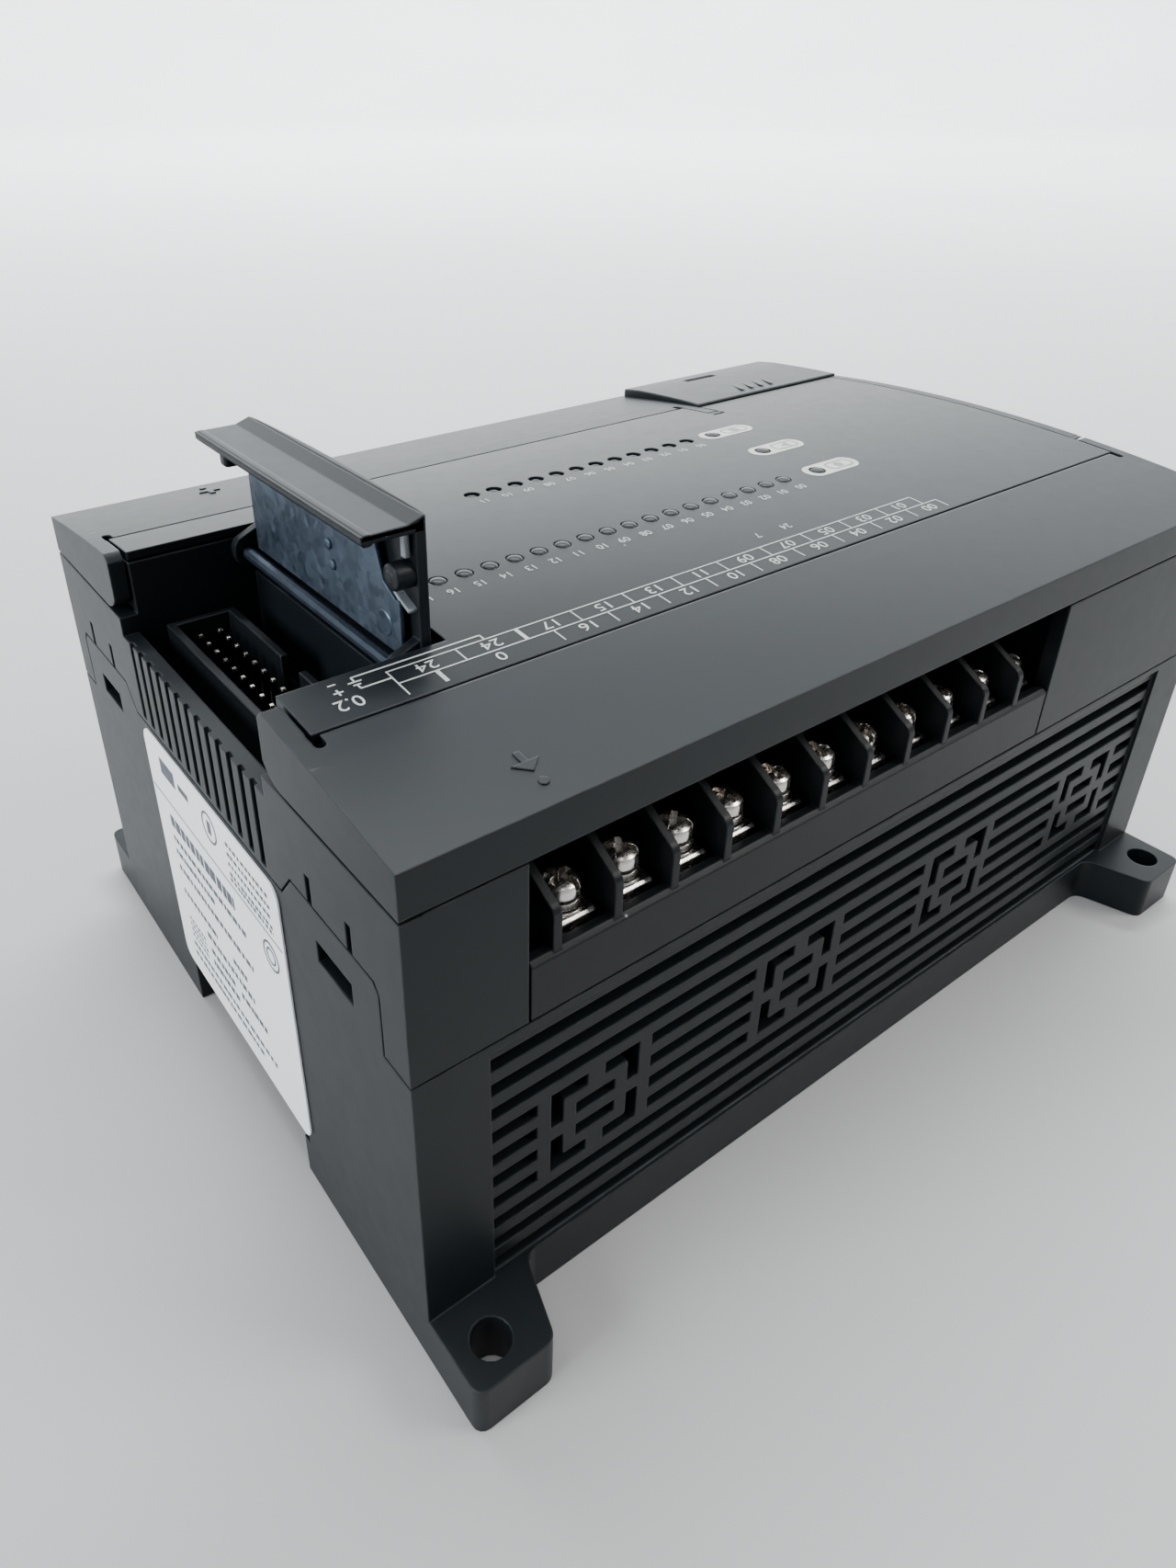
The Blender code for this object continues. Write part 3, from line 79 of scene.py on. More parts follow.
COVER_HINGE_Y = 20.8
COVER_HINGE_Z = 64.4
COVER_SWEEP = 4.45
COVER_WALL = 24.5
COVER_SLOT_NEAR = 15.9
COVER_SLOT_FAR = 18.6
COVER_MARK = 5.4
CUT_FROM = 60
CUT_TO = 75

LAMP_RADIUS = 1.1
INPUT_LAMPS = [(82.0 - 3.45 * index, 36.2) for index in range(18)]
OUTPUT_LAMPS = [(83.3 - 3.5 * index, 56.4) for index in range(12)]
STATUS_LAMPS = [(88.6, 36.0), (88.6, 46.1), (88.6, 56.3)]
LENS_SINK = 0.42
LENS_FOOT = 62.6
LENS_BAR = 0.8

ROW_PINS = 13
PIN_HALF = 0.32

TERMINALS = 11
TERMINAL_PITCH = 7.15
FIRST_DIVIDER = 15.95
LOWER_SEAT = 46.6
UPPER_SEAT = 53.0
LOWER_ROW = 4.7
UPPER_ROW = 12.9
TIERS = (("lower", LOWER_ROW, LOWER_SEAT), ("upper", UPPER_ROW, UPPER_SEAT))

PRINT_HALF = 0.02
THIN_LINE = 0.16
SIGN_LINE = 0.2
THICK_LINE = 0.45
TABLE_LEFT = 12.7
TABLE_RIGHT = 94.2
TABLE_TOP_END = 91.5
TABLE_LOW = 18.7
TABLE_MIDDLE = 20.75
TABLE_CELL = 20.8
TABLE_HIGH = 23.0
TABLE_PITCH = 7.12
FIGURE_SIZE = 2.0
FIGURE_STRETCH = 1.2
SMALL_FIGURE = 1.6
LAMP_FIGURE = 1.65
UPPER_FIGURES = 21.88
LOWER_FIGURES = 19.6
LABEL_INK_OUT = -0.335
LABEL_INK_IN = -0.295

MERGE_DISTANCE = 0.000002
FLAT_ANGLE = radians(0.15)
SHARP_ANGLE = radians(28)
FLANGE_SHARP_ANGLE = radians(12)

FLOOR_LEVEL = -0.0001
FLOOR_FLAT = 2.4
FLOOR_CURVE = 1.6
FLOOR_STEPS = 16
FLOOR_RISE = 80
FLOOR_RIM = (4.3, 3.2)
FLOOR_SIDES = 96

CAMERA_PLACE = (-29.25, -56.2, 118.1)
CAMERA_AIM = (51.9, 54.6, 40.0)
CAMERA_SENSOR = 36.0
CAMERA_LENS = 24.856
CAMERA_SHIFT = (0.041, -0.0707)


def at(x, y, z):
    return Vector((CASE_LOW.x + x * MM, CASE_LOW.y + y * MM, z * MM))


def crown(y):
    """Height of the face, in millimetres, at a distance y from the input side."""
    from_edge = min(y, DEPTH - y)
    inner = min(max(y, EDGE_STRIP), DEPTH - EDGE_STRIP)
    height = PEAK - CROWN_RADIUS + sqrt(CROWN_RADIUS ** 2 - (inner - DEPTH / 2) ** 2)
    if from_edge >= EDGE_STRIP:
        return height
    return EDGE_HEIGHT + (height - EDGE_HEIGHT) * max(from_edge, 0.0) / EDGE_STRIP


# ------------------------ material nodes

class Nodes:
    """Small helper that adds nodes to a material and joins them."""

    def __init__(self, name):
        self.material = bpy.data.materials.new(name)
        self.material.use_nodes = True
        self.tree = self.material.node_tree
        self.shader = self.tree.nodes["Principled BSDF"]
        self.place = self.add("ShaderNodeTexCoord").outputs["Object"]

    def add(self, kind, **settings):
        node = self.tree.nodes.new(kind)
        for key, value in settings.items():
            if hasattr(node, key):
                setattr(node, key, value)
            else:
                node.inputs[key.replace("_", " ")].default_value = value
        return node

    def join(self, source, target):
        self.tree.links.new(source, target)

    def stretch(self, scale):
        mapping = self.add("ShaderNodeMapping")
        mapping.inputs["Scale"].default_value = scale
        self.join(self.place, mapping.inputs["Vector"])
        return mapping.outputs["Vector"]

    def noise(self, scale, detail=2.0, roughness=0.5, place=None):
        node = self.add("ShaderNodeTexNoise", Scale=scale, Detail=detail, Roughness=roughness)
        self.join(place or self.place, node.inputs["Vector"])
        return node.outputs["Fac"]

    def cells(self, scale, feature="F1"):
        node = self.add("ShaderNodeTexVoronoi", feature=feature, Scale=scale)
        self.join(self.place, node.inputs["Vector"])
        return node

    def remap(self, value, low, high, to_low, to_high):
        node = self.add("ShaderNodeMapRange")
        node.inputs["From Min"].default_value = low
        node.inputs["From Max"].default_value = high
        node.inputs["To Min"].default_value = to_low
        node.inputs["To Max"].default_value = to_high
        self.join(value, node.inputs["Value"])
        return node.outputs["Result"]

    def times(self, first, second):
        node = self.add("ShaderNodeMath", operation="MULTIPLY")
        self.join(first, node.inputs[0])
        if isinstance(second, float):
            node.inputs[1].default_value = second
        else:
            self.join(second, node.inputs[1])
        return node.outputs[0]

    def mix(self, factor, first, second):
        node = self.add("ShaderNodeMix", data_type="RGBA")
        self.join(factor, node.inputs["Factor"])
        for value, socket in ((first, node.inputs[6]), (second, node.inputs[7])):
            if isinstance(value, tuple):
                socket.default_value = (*value, 1.0)
            else:
                self.join(value, socket)
        return node.outputs[2]

    def rounded(self, radius):
        node = self.add("ShaderNodeBevel", samples=4, Radius=radius)
        return node.outputs["Normal"]

    def bump(self, height, strength, distance, normal=None):
        node = self.add("ShaderNodeBump", Strength=strength, Distance=distance)
        self.join(height, node.inputs["Height"])
        if normal:
            self.join(normal, node.inputs["Normal"])
        return node.outputs["Normal"]

    def edge_mask(self, normal, low=0.80, high=0.985):
        """One where the rounded normal leaves the flat one, at corners."""
        flat = self.add("ShaderNodeNewGeometry").outputs["True Normal"]
        dot = self.add("ShaderNodeVectorMath", operation="DOT_PRODUCT")
        self.join(normal, dot.inputs[0])
        self.join(flat, dot.inputs[1])
        return self.remap(dot.outputs["Value"], low, high, 1.0, 0.0)

    def specks(self, scale, size, share):
        """Sparse round specks, such as dust."""
        node = self.cells(scale)
        near = self.remap(node.outputs["Distance"], size * 0.6, size, 1.0, 0.0)
        split = self.add("ShaderNodeSeparateColor")
        self.join(node.outputs["Color"], split.inputs["Color"])
        chosen = self.remap(split.outputs["Red"], 1 - share, 1 - share + 0.01, 0.0, 1.0)
        return self.times(near, chosen)

    def set(self, socket, value):
        target = self.shader.inputs[socket]
        if isinstance(value, tuple):
            target.default_value = (*value, 1.0) if len(value) == 3 else value
        elif isinstance(value, (int, float)):
            target.default_value = value
        else:
            self.join(value, target)


def plastic(name, colour, roughness, grain=0.3, edge_highlight_strength=0.6, dust=0.10, radius=0.00030):
    """Moulded plastic: fine spark-eroded grain, soft edges painted lighter as a highlight, stray dust."""
    nodes = Nodes(name)
    deep = tuple(channel * 0.93 for channel in colour)
    light = tuple(channel * 1.08 for channel in colour)
    mottled = nodes.mix(nodes.remap(nodes.noise(38, 5.0), 0.3, 0.7, 0.0, 1.0), deep, light)
    corner = nodes.rounded(radius)
    # Painted highlight: the colour is lightened along rounded edges, broken up by noise, where lit edges would
    # shine.
    edge_highlight = nodes.times(nodes.edge_mask(corner), nodes.remap(nodes.noise(260, 3.0), 0.35, 0.7, 0.2, 1.0))
    edge_highlight_colour = tuple(min(channel * 5.0 + 0.055, 0.4) for channel in colour)
    body = nodes.mix(nodes.times(edge_highlight, edge_highlight_strength), mottled, edge_highlight_colour)
    dusty = nodes.times(nodes.specks(230, 0.045, dust), 0.75)
    nodes.set("Base Color", nodes.mix(dusty, body, (0.30, 0.31, 0.32)))
    nodes.set("Roughness", nodes.remap(nodes.noise(420, 4.0), 0.3, 0.7, roughness - 0.012, roughness + 0.015))
    grainy = nodes.bump(nodes.noise(5200, 2.0, 0.6), grain, 0.00003, corner)
    nodes.set("Normal", grainy)
    nodes.set("Specular IOR Level", 0.23)
    return nodes.material


def plated(name, colour, roughness, streak=0.25):
    """Bright plated steel with faint drawing marks and dull patches."""
    nodes = Nodes(name)
    marks = nodes.noise(900, 3.0, 0.6, nodes.stretch((1, 6, 1)))
    patches = nodes.noise(420, 3.0)
    dull = tuple(channel * 0.62 for channel in colour)
    nodes.set("Base Color", nodes.mix(nodes.remap(patches, 0.35, 0.75, 0.0, 1.0), colour, dull))
    nodes.set("Metallic", 1.0)
    nodes.set("Roughness", nodes.remap(marks, 0.3, 0.7, roughness - 0.06, roughness + 0.14))
    nodes.set("Normal", nodes.bump(marks, streak, 0.00004, nodes.rounded(0.00012)))
    return nodes.material


def pin_glint_and_shade(name, bright, dull):
    """Contact pins: a painted glint makes the very tip bright, painted shade makes the shank dark."""
    nodes = Nodes(name)
    axes = nodes.add("ShaderNodeSeparateXYZ")
    nodes.join(nodes.place, axes.inputs["Vector"])
    # Painted shade below the tip and painted glint above it, split by height.
    shaded_shank = nodes.remap(axes.outputs["Z"], 0.05668, 0.05676, 1.0, 0.0)
    nodes.set("Base Color", nodes.mix(shaded_shank, bright, dull))
    nodes.set("Metallic", 1.0)
    nodes.set("Roughness", nodes.remap(nodes.noise(1500, 3.0), 0.3, 0.7, 0.18, 0.34))
    return nodes.material


def zinc_sheet(name):
    """Bluish zinc-plated sheet with its spangle and fine speckle."""
    nodes = Nodes(name)
    flake = nodes.add("ShaderNodeSeparateColor")
    nodes.join(nodes.cells(900).outputs["Color"], flake.inputs["Color"])
    cloud = nodes.noise(160, 5.0, 0.65)
    spangle = nodes.mix(nodes.times(flake.outputs["Red"], 0.55), (0.050, 0.074, 0.104), (0.15, 0.19, 0.245))
    nodes.set("Base Color", nodes.mix(nodes.remap(cloud, 0.35, 0.65, 0.0, 0.4), spangle, (0.045, 0.066, 0.088)))
    nodes.set("Metallic", 0.85)
    nodes.set("Roughness", nodes.remap(flake.outputs["Green"], 0.0, 1.0, 0.36, 0.52))
    nodes.set("Normal", nodes.bump(cloud, 0.07, 0.0001, nodes.rounded(0.0002)))
    return nodes.material


def print_ink(name, colour, roughness=0.5):
    """Screen-printed ink, a little thin in places."""
    nodes = Nodes(name)
    thin = nodes.remap(nodes.noise(1500, 3.0), 0.3, 0.62, 0.35, 0.0)
    nodes.set("Base Color", nodes.mix(thin, colour, tuple(channel * 0.45 for channel in colour)))
    nodes.set("Roughness", nodes.remap(nodes.noise(700), 0.3, 0.7, roughness - 0.05, roughness + 0.08))
    return nodes.material


def label_film(name):
    """White printed film, slightly mottled, with soft ripples from the wall behind."""
    nodes = Nodes(name)
    shade = nodes.remap(nodes.noise(90, 3.0), 0.35, 0.65, 0.0, 0.5)
    nodes.set("Base Color", nodes.mix(shade, (0.90, 0.92, 0.95), (0.84, 0.87, 0.91)))
    nodes.set("Roughness", nodes.remap(nodes.noise(300), 0.3, 0.7, 0.32, 0.42))
    nodes.set("Normal", nodes.bump(nodes.noise(120, 2.0), 0.12, 0.0004))
    return nodes.material


def lens_plastic(name, colour):
    """Smoky lamp lens."""
    nodes = Nodes(name)
    cloud = nodes.remap(nodes.noise(1800, 3.0), 0.35, 0.65, 0.0, 1.0)
    dark = tuple(channel * 0.6 for channel in colour)
    nodes.set("Base Color", nodes.mix(cloud, colour, dark))
    nodes.set("Roughness", nodes.remap(nodes.noise(2600), 0.3, 0.7, 0.28, 0.36))
    nodes.set("Specular IOR Level", 0.25)
    return nodes.material


def board_material(name):
    """Green board with darker tracks under its mask and small tinned pads."""
    nodes = Nodes(name)
    tracks = nodes.cells(380, "DISTANCE_TO_EDGE")
    line = nodes.remap(tracks.outputs["Distance"], 0.03, 0.06, 1.0, 0.0)
    mask = nodes.mix(line, (0.008, 0.075, 0.028), (0.02, 0.14, 0.05))
    nodes.set("Base Color", nodes.mix(nodes.specks(450, 0.22, 0.35), mask, (0.55, 0.55, 0.52)))
    nodes.set("Roughness", nodes.remap(nodes.noise(500), 0.3, 0.7, 0.28, 0.42))
    nodes.set("Normal", nodes.bump(line, 0.3, 0.00005))
    return nodes.material


def varnished(name, colour, roughness=0.5, metallic=0.0, grain=0.3):
    """Plain smooth finish with soft patches, for small parts and those inside."""
    nodes = Nodes(name)
    cloud = nodes.remap(nodes.noise(240, 4.0), 0.3, 0.7, 0.0, 1.0)
    nodes.set("Base Color", nodes.mix(cloud, colour, tuple(channel * 0.7 for channel in colour)))
    nodes.set("Metallic", metallic)
    nodes.set("Roughness", nodes.remap(nodes.noise(600, 3.0), 0.3, 0.7, roughness - 0.08, roughness + 0.08))
    nodes.set("Normal", nodes.bump(nodes.noise(2200, 2.0), grain, 0.00005, nodes.rounded(0.0003)))
    return nodes.material


def pale_floor(name):
    """Plain pale paint, very slightly uneven."""
    nodes = Nodes(name)
    cloud = nodes.remap(nodes.noise(3.0, 3.0), 0.3, 0.7, 0.0, 1.0)
    nodes.set("Base Color", nodes.mix(cloud, (0.375, 0.377, 0.379), (0.400, 0.402, 0.404)))
    nodes.set("Roughness", nodes.remap(nodes.noise(40.0, 3.0), 0.3, 0.7, 0.62, 0.72))
    nodes.set("Specular IOR Level", 0.25)
    return nodes.material


CASE = plastic("moulded_case", (0.0052, 0.0074, 0.0094), 0.40, grain=0.14)
PANEL = plastic("moulded_panel", (0.0046, 0.0066, 0.0086), 0.36, grain=0.12, dust=0.12)
BLOCK = plastic("moulded_block", (0.0050, 0.0068, 0.0085), 0.42, grain=0.14, dust=0.04, radius=0.0002)
NICKEL = plated("bright_nickel", (0.80, 0.76, 0.71), 0.22)
ROD_STEEL = plated("drawn_rod", (0.07, 0.09, 0.12), 0.42)
ZINC = zinc_sheet("zinc_sheet")
# Pin tips take a painted glint colour and the shanks a painted shade colour.
GOLD = pin_glint_and_shade("pin_glint_and_shade", (1.0, 0.96, 0.85), (0.020, 0.018, 0.014))
# Paler copy of the zinc for the shield's lips: a painted highlight.
LIP_ZINC_HIGHLIGHT = varnished("lip_zinc_painted_highlight", (0.30, 0.34, 0.37), 0.32, metallic=0.35, grain=0.15)
INK = print_ink("legend_ink", (0.40, 0.43, 0.41))
PILL_INK = print_ink("pill_ink", (0.47, 0.49, 0.44))
SIGN_INK = print_ink("sign_ink", (0.19, 0.20, 0.19))
LABEL = label_film("label_film")
LABEL_INK = print_ink("label_ink", (0.06, 0.07, 0.09))
LENS = lens_plastic("smoky_lens", (0.010, 0.012, 0.015))
BOARD = board_material("circuit_board")
LEVER = plastic("lever_plastic", (0.55, 0.56, 0.56), 0.35, dust=0.02)


# ------------------------ mesh helpers

def link(thing):
    bpy.context.scene.collection.objects.link(thing)


def mesh_of(shape, name):
    """Turn a bmesh into a mesh and let go of the bmesh."""
    mesh = bpy.data.meshes.new(name)
    shape.to_mesh(mesh)
    shape.free()
    return mesh


def mesh_of_curve(curve):
    """Mesh of a filled curve or of a piece of lettering."""
    holder = bpy.data.objects.new(curve.name, curve)
    link(holder)
    bpy.context.view_layer.update()
    mesh = bpy.data.meshes.new_from_object(holder.evaluated_get(bpy.context.evaluated_depsgraph_get()))
    bpy.data.objects.remove(holder, do_unlink=True)
    return mesh


def quad_box(shape, low, high):
    """Add a block between two places, in millimetres, to a bmesh."""
    made = bmesh.ops.create_cube(shape, size=1.0)["verts"]
    start = at(*low)
    end = at(*high)
    bmesh.ops.scale(shape, vec=end - start, verts=made)
    bmesh.ops.translate(shape, vec=(start + end) / 2, verts=made)


def lathe(shape, profile, centre, steps=28):
    """Add a turned solid: (radius, height) pairs from top to bottom, both ends on the axis."""
    rings = []
    for radius, height in profile:
        if radius == 0:
            rings.append([shape.verts.new(centre + Vector((0, 0, height * MM)))])
            continue
        ring = []
        for step in range(steps):
            angle = 2 * pi * step / steps
            ring.append(shape.verts.new(centre + Vector((
                radius * MM * cos(angle), radius * MM * sin(angle), height * MM))))
        rings.append(ring)
    for upper, lower in zip(rings, rings[1:]):
        for step in range(steps):
            following = (step + 1) % steps
            if len(upper) == 1:
                shape.faces.new((upper[0], lower[step], lower[following]))
            elif len(lower) == 1:
                shape.faces.new((upper[step], lower[0], upper[following]))
            else:
                shape.faces.new((upper[step], lower[step], lower[following], upper[following]))


def slab(shape, outline, low, high, axis="Z"):
    """Add an outline drawn out between two places along an axis. Z: (x, y). X: (y, z). Y: (x, z)."""
    order = {"Z": lambda u, v, w: (u, v, w), "X": lambda u, v, w: (w, u, v), "Y": lambda u, v, w: (u, w, v)}
    start = [shape.verts.new(at(*order[axis](u, v, low))) for u, v in outline]
    end = [shape.verts.new(at(*order[axis](u, v, high))) for u, v in outline]
    made = [shape.faces.new(start), shape.faces.new(end)]
    for index in range(len(outline)):
        following = (index + 1) % len(outline)
        made.append(shape.faces.new((start[index], start[following], end[following], end[index])))
    bmesh.ops.recalc_face_normals(shape, faces=made)


def rounded_rectangle(left, right, low, high, radius, steps):
    """Outline with rounded corners."""
    points = []
    for centre_u, centre_v, first in (
            (right - radius, high - radius, 0), (left + radius, high - radius, 90),
            (left + radius, low + radius, 180), (right - radius, low + radius, 270)):
        for step in range(steps + 1):
            angle = radians(first + 90 * step / steps)
            points.append((centre_u + radius * cos(angle), centre_v + radius * sin(angle)))
    return points


def disc(centre_u, centre_v, radius, sides):
    """Outline of a disc."""
    return [(centre_u + radius * cos(2 * pi * step / sides), centre_v + radius * sin(2 * pi * step / sides))
            for step in range(sides)]


def make_piece(name, shape, material, body, nodes=(), bevel=0.0, smooth=True, segments=2):
    """Turn a bmesh into a piece that rides on a body and stands for the given CAD nodes."""
    bmesh.ops.recalc_face_normals(shape, faces=shape.faces)
    piece = bpy.data.objects.new(name, mesh_of(shape, name))
    return finish_piece(piece, material, body, nodes, bevel, smooth, segments)


def finish_piece(piece, material, body, nodes=(), bevel=0.0, smooth=True, segments=2):
    """Give a piece its material, its softened edges (bevel in millimetres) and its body."""
    if piece.name not in bpy.context.scene.collection.objects:
        link(piece)
    piece.data.materials.clear()
    piece.data.materials.append(material)
    if smooth:
        piece.data.set_sharp_from_angle(angle=SHARP_ANGLE)
        for face in piece.data.polygons:
            face.use_smooth = True
    if bevel:
        modifier = piece.modifiers.new("edges", "BEVEL")
        modifier.width = bevel * MM
        modifier.segments = segments
        modifier.limit_method = "ANGLE"
        modifier.angle_limit = SHARP_ANGLE
        modifier.use_clamp_overlap = True
        modifier.harden_normals = True
        weighted = piece.modifiers.new("shading", "WEIGHTED_NORMAL")
        weighted.weight = 100
        weighted.keep_sharp = True
    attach(piece, body)
    if nodes:
        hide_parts(*nodes)
    return piece


def carve(piece, shape):
    """Cut a bmesh out of a piece for good."""
    bmesh.ops.recalc_face_normals(shape, faces=shape.faces)
    tool = bpy.data.objects.new("carving", mesh_of(shape, "carving"))
    link(tool)
    modifier = piece.modifiers.new("carve", "BOOLEAN")
    modifier.object = tool
    modifier.solver = "EXACT"
    modifier.use_self = True
    bpy.context.view_layer.update()
    evaluated = piece.evaluated_get(bpy.context.evaluated_depsgraph_get())
    done = bpy.data.meshes.new_from_object(evaluated)
    piece.modifiers.remove(modifier)
    piece.data = done
    bpy.data.objects.remove(tool, do_unlink=True)


def copy_of(node, name):
    """A workable copy of a CAD node: flat faces rejoined, not yet a piece."""
    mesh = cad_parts[node].data.copy()
    shape = bmesh.new()
    shape.from_mesh(mesh)
    bmesh.ops.remove_doubles(shape, verts=shape.verts, dist=MERGE_DISTANCE)
    bmesh.ops.dissolve_limit(shape, angle_limit=FLAT_ANGLE, verts=shape.verts, edges=shape.edges)
    shape.to_mesh(mesh)
    shape.free()
    piece = bpy.data.objects.new(name, mesh)
    link(piece)
    return piece


# ------------------------ housing

def case_halves():
    """The two mouldings, in their CAD shapes with softened edges."""
    rear = copy_of("rear_case", "rear_shell")
    finish_piece(rear, CASE, "housing", ["rear_case"], bevel=0.18)
    front = copy_of("front_case", "front_shell")
    finish_piece(front, CASE, "housing", ["front_case"], bevel=0.15)


def lamp_holes(shape):
    """Cutters for the holes over the lamps."""
    for x, y in INPUT_LAMPS + OUTPUT_LAMPS + STATUS_LAMPS:
        slab(shape, disc(x, y, LAMP_RADIUS, 28), crown(y) - 4, crown(y) + 2)


def panel_piece():
    """Face panel, rebuilt with a finer crown and round lamp holes."""
    steps = 44
    span = [PANEL_NEAR + (DEPTH - 2 * PANEL_NEAR) * step / steps for step in range(steps + 1)]
    outline = [(y, crown(y)) for y in span] + [(y, crown(y) - PANEL_THICK) for y in reversed(span)]
    shape = bmesh.new()
    slab(shape, outline, PANEL_EDGE, LENGTH - PANEL_EDGE, "X")
    piece = bpy.data.objects.new("crowned_panel", mesh_of(shape, "crowned_panel"))
    link(piece)
    cuts = bmesh.new()
    quad_box(cuts, (-2, PORT_NEAR - GAP, CUT_FROM), (PORT_POCKET, PORT_FAR + GAP, CUT_TO))
    quad_box(cuts, (COMM_LEFT - 2 * GAP, COMM_NEAR - 2 * GAP, CUT_FROM), (LENGTH + 2, DEPTH, CUT_TO))
    quad_box(cuts, (OUTPUT_COVER_END - COVER_ARM - GAP, DEPTH - PORT_NEAR, CUT_FROM),
             (OUTPUT_COVER_END + GAP, DEPTH, CUT_TO))
    lamp_holes(cuts)
    carve(piece, cuts)
    finish_piece(piece, PANEL, "housing", ["face_panel"], bevel=0.16)


def lamp_lenses():
    """Low domed lenses on a common bar for each row. The output row lies a little under the face."""
    rows = (("input_lenses", INPUT_LAMPS, "input_light_pipe"),
            ("output_lenses", OUTPUT_LAMPS, "output_light_pipe"),
            ("status_lenses", STATUS_LAMPS, "status_light_pipe"))
    for name, places, node in rows:
        shape = bmesh.new()
        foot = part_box(node)[0].z / MM
        for x, y in places:
            top = crown(y)
            if name == "output_lenses":
                top -= LENS_SINK
            profile = [(0.0, top + 0.26), (0.3, top + 0.245), (0.55, top + 0.19), (0.78, top + 0.09),
                       (0.95, top - 0.04), (1.05, top - 0.20), (1.07, LENS_FOOT), (0.0, LENS_FOOT)]
            lathe(shape, profile, at(x, y, 0), 20)
        xs = [x for x, _ in places]
        ys = [y for _, y in places]
        quad_box(shape, (min(xs) - LENS_BAR, min(ys) - LENS_BAR, foot),
                 (max(xs) + LENS_BAR, max(ys) + LENS_BAR, foot + 2))
        make_piece(name, shape, LENS, "housing", [node])


# ------------------------ printing

def lay_on_crown(mesh, lift):
    """Move flat artwork, drawn at height zero, onto the crowned face."""
    for vertex in mesh.vertices:
        y = (vertex.co.y - CASE_LOW.y) / MM
        vertex.co.z += (crown(y) + lift) * MM


def add_figures(shape, words, x, y, size=FIGURE_SIZE, stretch=1.0):
    """Add solid figures at height zero, centred on a place and turned to read from the output side."""
    curve = bpy.data.curves.new("lettering", "FONT")
    curve.body = words
    curve.size = size * MM
    curve.align_x = "CENTER"
    curve.align_y = "CENTER"
    curve.extrude = PRINT_HALF * MM
    curve.resolution_u = 3
    mesh = mesh_of_curve(curve)
    xs = [vertex.co.x for vertex in mesh.vertices]
    ys = [vertex.co.y for vertex in mesh.vertices]
    mesh.transform(Matrix.Translation((-(min(xs) + max(xs)) / 2, -(min(ys) + max(ys)) / 2, 0)))
    widen = Matrix.Diagonal((stretch, 1, 1, 1))
    mesh.transform(Matrix.Translation(at(x, y, 0)) @ Matrix.Rotation(pi, 4, "Z") @ widen)
    shape.from_mesh(mesh)
    bpy.data.meshes.remove(mesh)


def strip(shape, x1, y1, x2, y2, width=THIN_LINE, pieces=6):
    """Add a printed line at height zero, cut into short lengths so that it follows the crown."""
    start = Vector((x1, y1, 0))
    end = Vector((x2, y2, 0))
    side = Vector((-(end - start).y, (end - start).x, 0)).normalized() * width / 2
    for index in range(pieces):
        a = start.lerp(end, index / pieces)
        b = start.lerp(end, (index + 1) / pieces)
        corners = [a + side, b + side, b - side, a - side]
        slab(shape, [(corner.x, corner.y) for corner in corners], -PRINT_HALF, PRINT_HALF)


def face_legend():
    """Terminal table, lamp numbers and battery sign, all turned to read from the output side."""
    shape = bmesh.new()
    strip(shape, TABLE_LEFT, TABLE_LOW, TABLE_LEFT, TABLE_HIGH)
    strip(shape, TABLE_LEFT - 0.1, TABLE_HIGH, TABLE_TOP_END, TABLE_HIGH)
    strip(shape, TABLE_LEFT, TABLE_MIDDLE, TABLE_RIGHT, TABLE_MIDDLE)
    strip(shape, 20.4, TABLE_CELL, 20.4, TABLE_HIGH)
    strip(shape, 27.65, TABLE_CELL, 27.65, TABLE_HIGH, THICK_LINE)
    strip(shape, 16.85, TABLE_LOW, 16.85, TABLE_CELL, THICK_LINE)
    for index in range(9):
        shift = TABLE_PITCH * index
        strip(shape, 34.7 + shift, TABLE_CELL, 34.7 + shift, TABLE_HIGH)
        strip(shape, 30.85 + shift, TABLE_LOW, 30.85 + shift, TABLE_CELL)
    strip(shape, TABLE_RIGHT, TABLE_LOW, TABLE_RIGHT, TABLE_CELL)
    figures = [("24", 16.5, UPPER_FIGURES), ("24", 24.0, UPPER_FIGURES), ("0", 23.6, LOWER_FIGURES)]
    for index in range(9):
        x = 31.2 + TABLE_PITCH * index
        figures.append(("%02d" % (17 - 2 * index), x, UPPER_FIGURES))
        figures.append(("%02d" % (16 - 2 * index), x + 3.2, LOWER_FIGURES))
    for words, x, y in figures:
        add_figures(shape, words, x, y, stretch=FIGURE_STRETCH)
    add_figures(shape, "0.2", 7.4, 20.3, 2.4)
    add_figures(shape, "24", 70.5, 25.4, SMALL_FIGURE)
    add_figures(shape, "7", 65.5, 25.4, SMALL_FIGURE)
    for line in ((9.4, 23.9, 23.9, 23.9), (23.9, 23.0, 23.9, 23.9), (9.4, 23.1, 9.4, 23.9),
                 (8.7, 23.1, 10.1, 23.1), (9.0, 22.6, 9.8, 22.6), (9.4, 21.9, 9.4, 22.6),
                 (9.4, 21.9, 12.6, 21.9), (6.8, 22.3, 7.8, 22.3), (7.3, 21.8, 7.3, 22.8),
                 (6.9, 23.7, 7.7, 23.7)):
        strip(shape, *line, SIGN_LINE)
    for places, down in ((INPUT_LAMPS, 3.05), (OUTPUT_LAMPS, 3.0)):
        for index, (x, y) in enumerate(places):
            add_figures(shape, "%02d" % index, x, y - down, LAMP_FIGURE)
    laid_piece("face_legend", shape, INK, 0.01)


def laid_piece(name, shape, material, lift, body="housing"):
    """Piece drawn at height zero and laid on the crowned face."""
    mesh = mesh_of(shape, name)
    lay_on_crown(mesh, lift)
    return finish_piece(bpy.data.objects.new(name, mesh), material, body, smooth=False)


